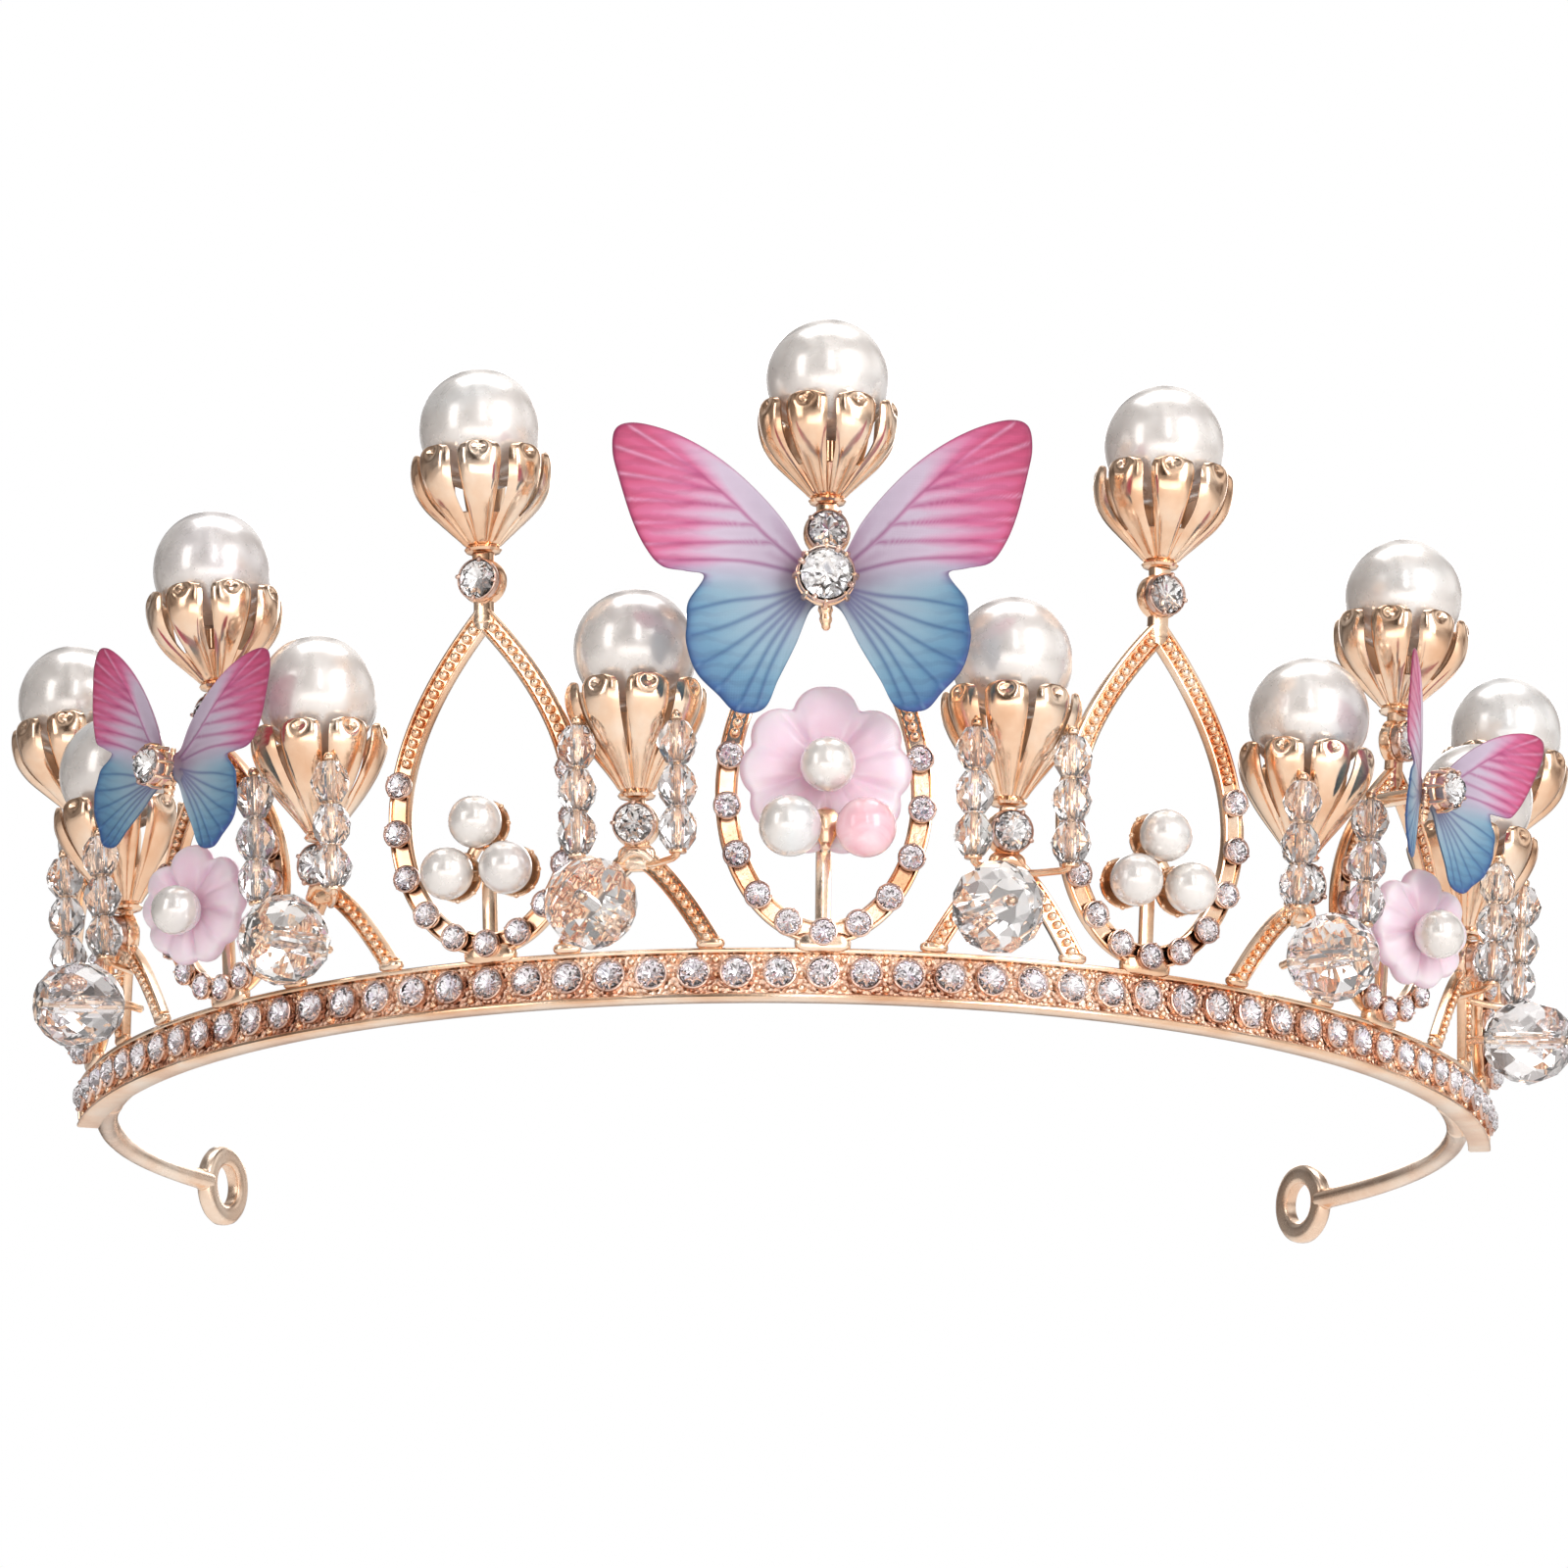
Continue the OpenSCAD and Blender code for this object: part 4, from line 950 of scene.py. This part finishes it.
def near(points, line):
    """Distance from each point to a polyline, and how far along it that is."""
    best, where = np.full(len(points), 1e9), np.zeros(len(points))
    for i in range(len(line) - 1):
        a, d = line[i], line[i + 1] - line[i]
        t = np.clip(((points - a) @ d) / max(d @ d, 1e-9), 0, 1)
        dist = np.linalg.norm(points - a - t[:, None] * d, axis=1)
        where = np.where(dist < best, (i + t) / (len(line) - 1), where)
        best = np.minimum(best, dist)
    return best, where


def wing_shape(scale, s, camber):
    """One printed organza wing in the fold's own frame: x outward, -y forward, z up. Both faces carry the raised veins."""
    rim = smooth_line(WING, 14, True)
    K, N = len(rim), 46
    q = (np.arange(1, N + 1) / N) ** 0.9
    flat = ROOT + (rim[None] - ROOT) * q[:, None, None]
    pts = flat.reshape(-1, 2)
    vein = np.zeros(len(pts))
    for line in VEINS:
        d, w = near(pts, smooth_line(line, 6))
        vein = np.maximum(vein, np.exp(-(d / (0.24 - 0.10 * w)) ** 2))
    edge = np.exp(-((1 - q)[:, None] * np.linalg.norm(rim - ROOT, axis=1)[None] / 0.28) ** 2).reshape(-1)
    far = np.linalg.norm(pts - [0, -0.3], axis=1)
    split = pts[:, 1] + 0.3 - 0.047 * (pts[:, 0] + 0.2)
    blend = np.clip((split + 1.5) / 3.6, 0, 1)
    upper = blend * blend * (3 - 2 * blend)
    broad = np.zeros(len(pts))
    for line in VEINS:
        d, w = near(pts, smooth_line(line, 4))
        broad = np.maximum(broad, np.exp(-(d / 0.75) ** 2))
    lead = np.exp(-((1 - np.repeat(q, K)) * np.tile(np.linalg.norm(rim - ROOT, axis=1), N) / 0.7) ** 2)  # the margin's print
    shade = upper * (0.60 * far / 22 + 0.36 * np.clip(pts[:, 0] / 18, 0, 1)) + (1 - upper) * 0.88 * far / 15
    shade = shade + (0.05 + 0.13 * upper * np.clip(far / 9, 0, 1)) * (broad - 0.4) + 0.12 * lead * np.clip(far / 6, 0, 1)
    ang = np.arctan2(pts[:, 1], pts[:, 0] + 1)
    qq = np.repeat(q, K)
    y = -camber * np.sin(math.pi * 0.62 * np.clip(far / 22, 0, 1)) + 0.16 * qq ** 3 * np.sin(7 * ang) * np.clip(far / 10, 0, 1)
    y += -0.30 * np.exp(-(split / 0.9) ** 2) * np.clip(far / 6, 0, 1)  # the lower wing tucks behind the upper
    half = 0.075 + 0.07 * vein + 0.045 * edge
    half = half * np.where(qq > 0.995, 0.35, 1.0)
    x = pts[:, 0] * scale * s
    front = np.stack([x, y * scale - half, pts[:, 1] * scale], 1)
    back = np.stack([x, y * scale + half, pts[:, 1] * scale], 1)
    c = np.array([[ROOT[0] * scale * s, -0.08, ROOT[1] * scale], [ROOT[0] * scale * s, 0.08, ROOT[1] * scale]])
    v = np.concatenate([front, back, c])
    m = K * N
    f = []
    for i in range(N - 1):
        for k in range(K):
            j = (k + 1) % K
            f.append((i * K + k, (i + 1) * K + k, (i + 1) * K + j, i * K + j))
            f.append((m + i * K + k, m + i * K + j, m + (i + 1) * K + j, m + (i + 1) * K + k))
    e = (N - 1) * K
    for k in range(K):
        j = (k + 1) % K
        f.append((e + k, m + e + k, m + e + j, e + j))
        f.append((2 * m, k, j))
        f.append((2 * m + 1, m + j, m + k))
    g = Geo(v, f, 0, True)
    two = lambda a: np.concatenate([a, a, a[:1], a[:1]])
    g.uv = {"shade": two(np.stack([np.clip(shade, 0, 1), upper], 1)), "detail": two(np.stack([vein, edge], 1)), "weave": two(pts / 20.0 + 1)}
    return g


FLIES = [("centre", 0.0, -0.6, 33.6, 7.2, 1.0, (8, 4), (-3, 2), 0.0), ("left", -49.2, 2.7, 22.9, 7.5, 0.68, (5, -8), (23, -4), 0.3),
         ("right", 49.2, -5.3, 22.6, 6.7, 0.68, (22, 16), (8, -8), 1.95)]
fly_places = []
for side, phi, fx, fv, off, sc, fold, turn, reach in FLIES:
    at = stand(phi) @ tr(fx, -off, fv)
    for s, word, cloth in ((-1, "left", WING_L), (1, "right", WING_R)):
        node = f"{side}_butterfly_{word}_wing"
        m = at @ tr(s * 1.5, 0, 0) @ rot("Z", -s * fold[s > 0]) @ rot("Y", -s * turn[s > 0])
        ob = make(node + "_look", wing_shape(sc, s, 0.9).at(m), [cloth], [node], sharp=None, rides=False)
        a, b = (m @ np.array([s * -1.1 * sc, 0, 0, 1]))[:3] * 0.001, (m @ np.array([s * 1.7 * sc, 0, 0, 1]))[:3] * 0.001
        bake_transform(ob)
    # post, bezel with claws, and a ringed body behind the wings' fold
    big = sc == 1
    R = 2.7 * (1 if big else 0.72)
    bits = [tube([(reach, off - 0.3, 0), (reach / 2, (off - 1.7) / 2, 0), (0, -1.4, 0)], 0.72, 16), seat(R * 0.98, -1.3, -1.9)]
    n_claw = 8
    for i in range(n_claw):
        bits.append(tube([(R * 1.0, 0, 0.05), (R * 1.0, 0, 1.0), (R * 0.9, 0, 1.55)], [0.26 * sc ** 0.5, 0.24 * sc ** 0.5, 0.2 * sc ** 0.5], 8)
                    .at(tr(0, -1.3, 0) @ FACE @ rot("Z", 360 / n_claw * i)))
    z0, z1 = -4.2 * sc - 0.3, 3.2 * sc - 0.3
    prof, n_ring = [(0, z0)], 30
    for i in range(n_ring):
        t = i / (n_ring - 1)
        r = (0.30 + 0.30 * math.sin(math.pi * min(1, t * 1.1)) ** 0.7) * (1 + 0.13 * math.cos(t * math.pi * 2 * 8)) * (0.75 + 0.35 * sc)
        prof.append((max(0.08, r if 0 < i < n_ring - 1 else 0.22), z0 + (z1 - z0) * (0.01 + 0.98 * t)))
    prof.append((0, z1))
    bits.append(lathe(prof, 18).at(rot("Y", (turn[0] - turn[1]) / 2)))
    make(f"{side}_butterfly_mount_look", join(bits).at(at), [GOLD], [f"{side}_butterfly_mount"])
    fly_places.append((at @ tr(0, -1.91, 0) @ FACE, 5.4 * (0.96 if big else 0.68), 1.8))
set_stones("butterfly_rhinestones", fly_places, ["butterfly_rhinestones"], FOIL_CLEAR)

# ------------------------------------------------------------------ faceted beads
BIG_BEAD = facet_bead(8.4, 7.56, 10, [(0.25, 0.5), (0.375, 0.37), (0.458, 0.20), (0.497, 0.0)], 0.6)
SMALL_BEAD = facet_bead(3.7, 3.6, 8, [(0.27, 0.5), (0.43, 0.25), (0.495, 0.0)], 0.42)
spots = [(LOW[0], 5.6, -2.8), (LOW[1], 5.3, 0.4), (LOW[2], 4.8, 2.8), (LOW[3], 5.6, -2.8), (LOW[4], 5.3, -1.8), (LOW[5], 4.8, 1.6)]
big_at = [stand(B["phi"]) @ tr(x, -5.9, v) for B, v, x in spots]
make("large_crystals_look", join([BIG_BEAD.at(m @ FACE @ rot("Z", 18 * i)) for i, m in enumerate(big_at)]), [CRYSTAL], ["large_crystals"], sharp=None)
make("large_crystal_pins", join([tube([(0, 3.6, 0), (0, 5.0, 0.1), (0, 6.2, -0.2)], 0.4, 10).at(m) for m in big_at]
                                + [tube([(0, y, 0) for y in (-3.9, 0, 3.7)], 0.3, 10).at(m) for m in big_at]), [GOLD_WIRE], ())
make("small_crystals_look", join([SMALL_BEAD.at(stand(B["phi"]) @ tr(s * 4.5, -3.7, v + B["drop"]) @ rot("Z", 13 * j + 7 * s))
                                  for B in LOW for s in (-1, 1) for j, v in enumerate((19.9, 16.0, 12.2))]), [CRYSTAL], ["small_crystals"], sharp=None)

# ------------------------------------------------------------------ arms
RING = 67.0
TURN = 118 - 80 - 0.4
TILT = math.degrees(math.asin((4.2 + 0.01 - 2.3) / (RING * math.sin(math.radians(TURN)) + 3.7 * math.cos(math.radians(TURN)))))
ARM = tr(0, CENTRE_Y, BAND_MID) @ rot("Z", 80.4) @ tr(0, -RING, 0) @ rot("Y", -TILT) @ tr(0, RING, 0)


def arm():
    wire = [(RING * math.sin(math.radians(a)), -RING * math.cos(math.radians(a)), 0) for a in np.linspace(-1.6, TURN + 0.35, 60)]
    rad = [1.05 - 0.0 * i for i in range(60)]
    bits = [tube(wire, rad, 18)]
    ring = [(2.15, -0.35), (2.2, -0.62), (2.42, -0.8), (2.75, -0.86), (3.55, -0.86), (3.95, -0.74), (4.15, -0.5), (4.2, -0.2), (4.2, 0.2), (4.15, 0.5), (3.95, 0.74),
            (3.55, 0.86), (2.75, 0.86), (2.42, 0.8), (2.2, 0.62), (2.15, 0.35)]
    eye = lathe(ring, 56, loop=True)
    bits.append(eye.at(rot("Z", TURN) @ tr(3.7, -RING, 0) @ rot("X", 90)))
    bits.append(blob(1.1, 0.9, 1.15, 18, 12, 0.85).at(rot("Z", TURN) @ tr(-0.35, -RING, 0)))
    return join(bits).at(ARM)


mirror = np.diag([-1.0, 1, 1, 1])
for side, m, sgn in (("left", mirror, -1), ("right", np.eye(4), 1)):
    ob = make(f"{side}_arm_look", arm().at(m), [GOLD_WIRE], [f"{side}_arm"], rides=False)
    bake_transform(ob)

# ------------------------------------------------------------------ floor, camera, light
floor_mat = Mat("pale_floor", Roughness=0.9)
floor_mat.set("Base Color", floor_mat.ramp(floor_mat.noise(3, 3), [(0.3, lin(244, 243, 242)), (0.7, lin(250, 249, 248))]))
bpy.ops.mesh.primitive_plane_add(size=6, location=(0, 0, -0.125))
floor = bpy.context.object
floor.name = "floor"
floor.data.materials.append(floor_mat.m)

AZ, EL, ROLL, DIST = math.radians(-2.83), math.radians(-16.04), math.radians(0.39), 0.48
target = Vector((-0.0035, -0.0471, 0.0195))
back = Vector((math.sin(AZ) * math.cos(EL), -math.cos(AZ) * math.cos(EL), math.sin(EL)))
right = Vector((math.cos(AZ), math.sin(AZ), 0))
up = back.cross(right)
r2, u2 = right * math.cos(ROLL) + up * math.sin(ROLL), up * math.cos(ROLL) - right * math.sin(ROLL)
cam = bpy.data.cameras.new("camera")
cam.sensor_width, cam.sensor_fit, cam.lens = 36.0, "HORIZONTAL", 5540 / 1600 * 36
cam.clip_start, cam.clip_end = 0.01, 20
eye = bpy.data.objects.new("camera", cam)
place = Matrix((r2, u2, back)).transposed().to_4x4()
place.translation = target + back * DIST
eye.matrix_world = place
bpy.context.scene.collection.objects.link(eye)
bpy.context.scene.camera = eye


def softbox(name, loc, size, power, aim=(0, -0.03, 0.025), color=(1, 1, 1)):
    d = bpy.data.lights.new(name, "AREA")
    d.shape, d.size, d.size_y, d.energy, d.color = "RECTANGLE", size[0], size[1], power, color
    o = bpy.data.objects.new(name, d)
    o.matrix_world = Matrix.Translation(loc) @ (Vector(aim) - Vector(loc)).to_track_quat("-Z", "Y").to_matrix().to_4x4()
    bpy.context.scene.collection.objects.link(o)


softbox("key", (0.46, -0.66, 0.22), (0.30, 0.60), 2.8, color=(1.0, 0.99, 0.98))
softbox("window", (0.02, -0.85, 0.30), (0.07, 0.50), 0.5, color=(0.98, 0.99, 1.0))
softbox("fill", (-0.60, -0.50, 0.20), (0.20, 0.50), 0.8, color=(1.0, 0.975, 0.95))
softbox("top", (0.0, 0.0, 0.75), (0.7, 0.4), 2.1)
softbox("under", (0.0, -0.45, -0.10), (0.6, 0.14), 0.35, color=(1.0, 0.95, 0.91))
softbox("rim", (0.15, 0.62, 0.35), (0.6, 0.3), 1.2)

world = bpy.data.worlds.new("studio")
bpy.context.scene.world = world
world.use_nodes = True
wt = world.node_tree
wt.nodes.clear()
out, mixer = wt.nodes.new("ShaderNodeOutputWorld"), wt.nodes.new("ShaderNodeMixShader")
white, room, path = wt.nodes.new("ShaderNodeBackground"), wt.nodes.new("ShaderNodeBackground"), wt.nodes.new("ShaderNodeLightPath")
coord, blot, ramp = wt.nodes.new("ShaderNodeTexCoord"), wt.nodes.new("ShaderNodeTexNoise"), wt.nodes.new("ShaderNodeValToRGB")
blot.inputs["Scale"].default_value, blot.inputs["Detail"].default_value = 2.2, 1.0
e = ramp.color_ramp.elements
e[0].position, e[0].color = 0.38, (0.20, 0.17, 0.155, 1)
e[1].position, e[1].color = 0.60, (1.0, 0.99, 0.98, 1)
mid = e.new(0.48)
mid.color = (0.60, 0.575, 0.565, 1)
white.inputs["Color"].default_value, white.inputs["Strength"].default_value = (1, 1, 1, 1), 1.0
room.inputs["Strength"].default_value = 0.9
wt.links.new(coord.outputs["Generated"], blot.inputs["Vector"])
wt.links.new(blot.outputs["Fac"], ramp.inputs["Fac"])
# the dark uprights that a photographer's stand and camera put into shiny things
axis, shift, bars, dim = (wt.nodes.new(k) for k in ("ShaderNodeSeparateXYZ", "ShaderNodeMath", "ShaderNodeValToRGB", "ShaderNodeMix"))
shift.operation = "MULTIPLY_ADD"
shift.inputs[1].default_value, shift.inputs[2].default_value = 0.5, 0.5
wt.links.new(coord.outputs["Generated"], axis.inputs[0])
wt.links.new(axis.outputs["X"], shift.inputs[0])
wt.links.new(shift.outputs[0], bars.inputs["Fac"])
el = bars.color_ramp.elements
el[0].position, el[0].color = 0.0, (0.28, 0.26, 0.25, 1)
el[1].position, el[1].color = 1.0, (1, 1, 1, 1)
for pos, g in ((0.20, 0.42), (0.33, 0.85), (0.365, 0.25), (0.42, 0.25), (0.455, 1.1), (0.52, 1.15), (0.545, 0.45), (0.58, 1.15)):
    el.new(pos).color = (g, g * 0.98, g * 0.97, 1)
dim.data_type, dim.blend_type = "RGBA", "MULTIPLY"
dim.inputs[0].default_value = 1.0
wt.links.new(ramp.outputs["Color"], dim.inputs[6])
wt.links.new(bars.outputs["Color"], dim.inputs[7])
wt.links.new(dim.outputs[2], room.inputs["Color"])
wt.links.new(path.outputs["Is Camera Ray"], mixer.inputs["Fac"])
wt.links.new(room.outputs["Background"], mixer.inputs[1])
wt.links.new(white.outputs["Background"], mixer.inputs[2])
wt.links.new(mixer.outputs["Shader"], out.inputs["Surface"])
bpy.context.scene.view_settings.view_transform = "Standard"
bpy.context.scene.view_settings.look = "None"

bpy.context.view_layer.update()
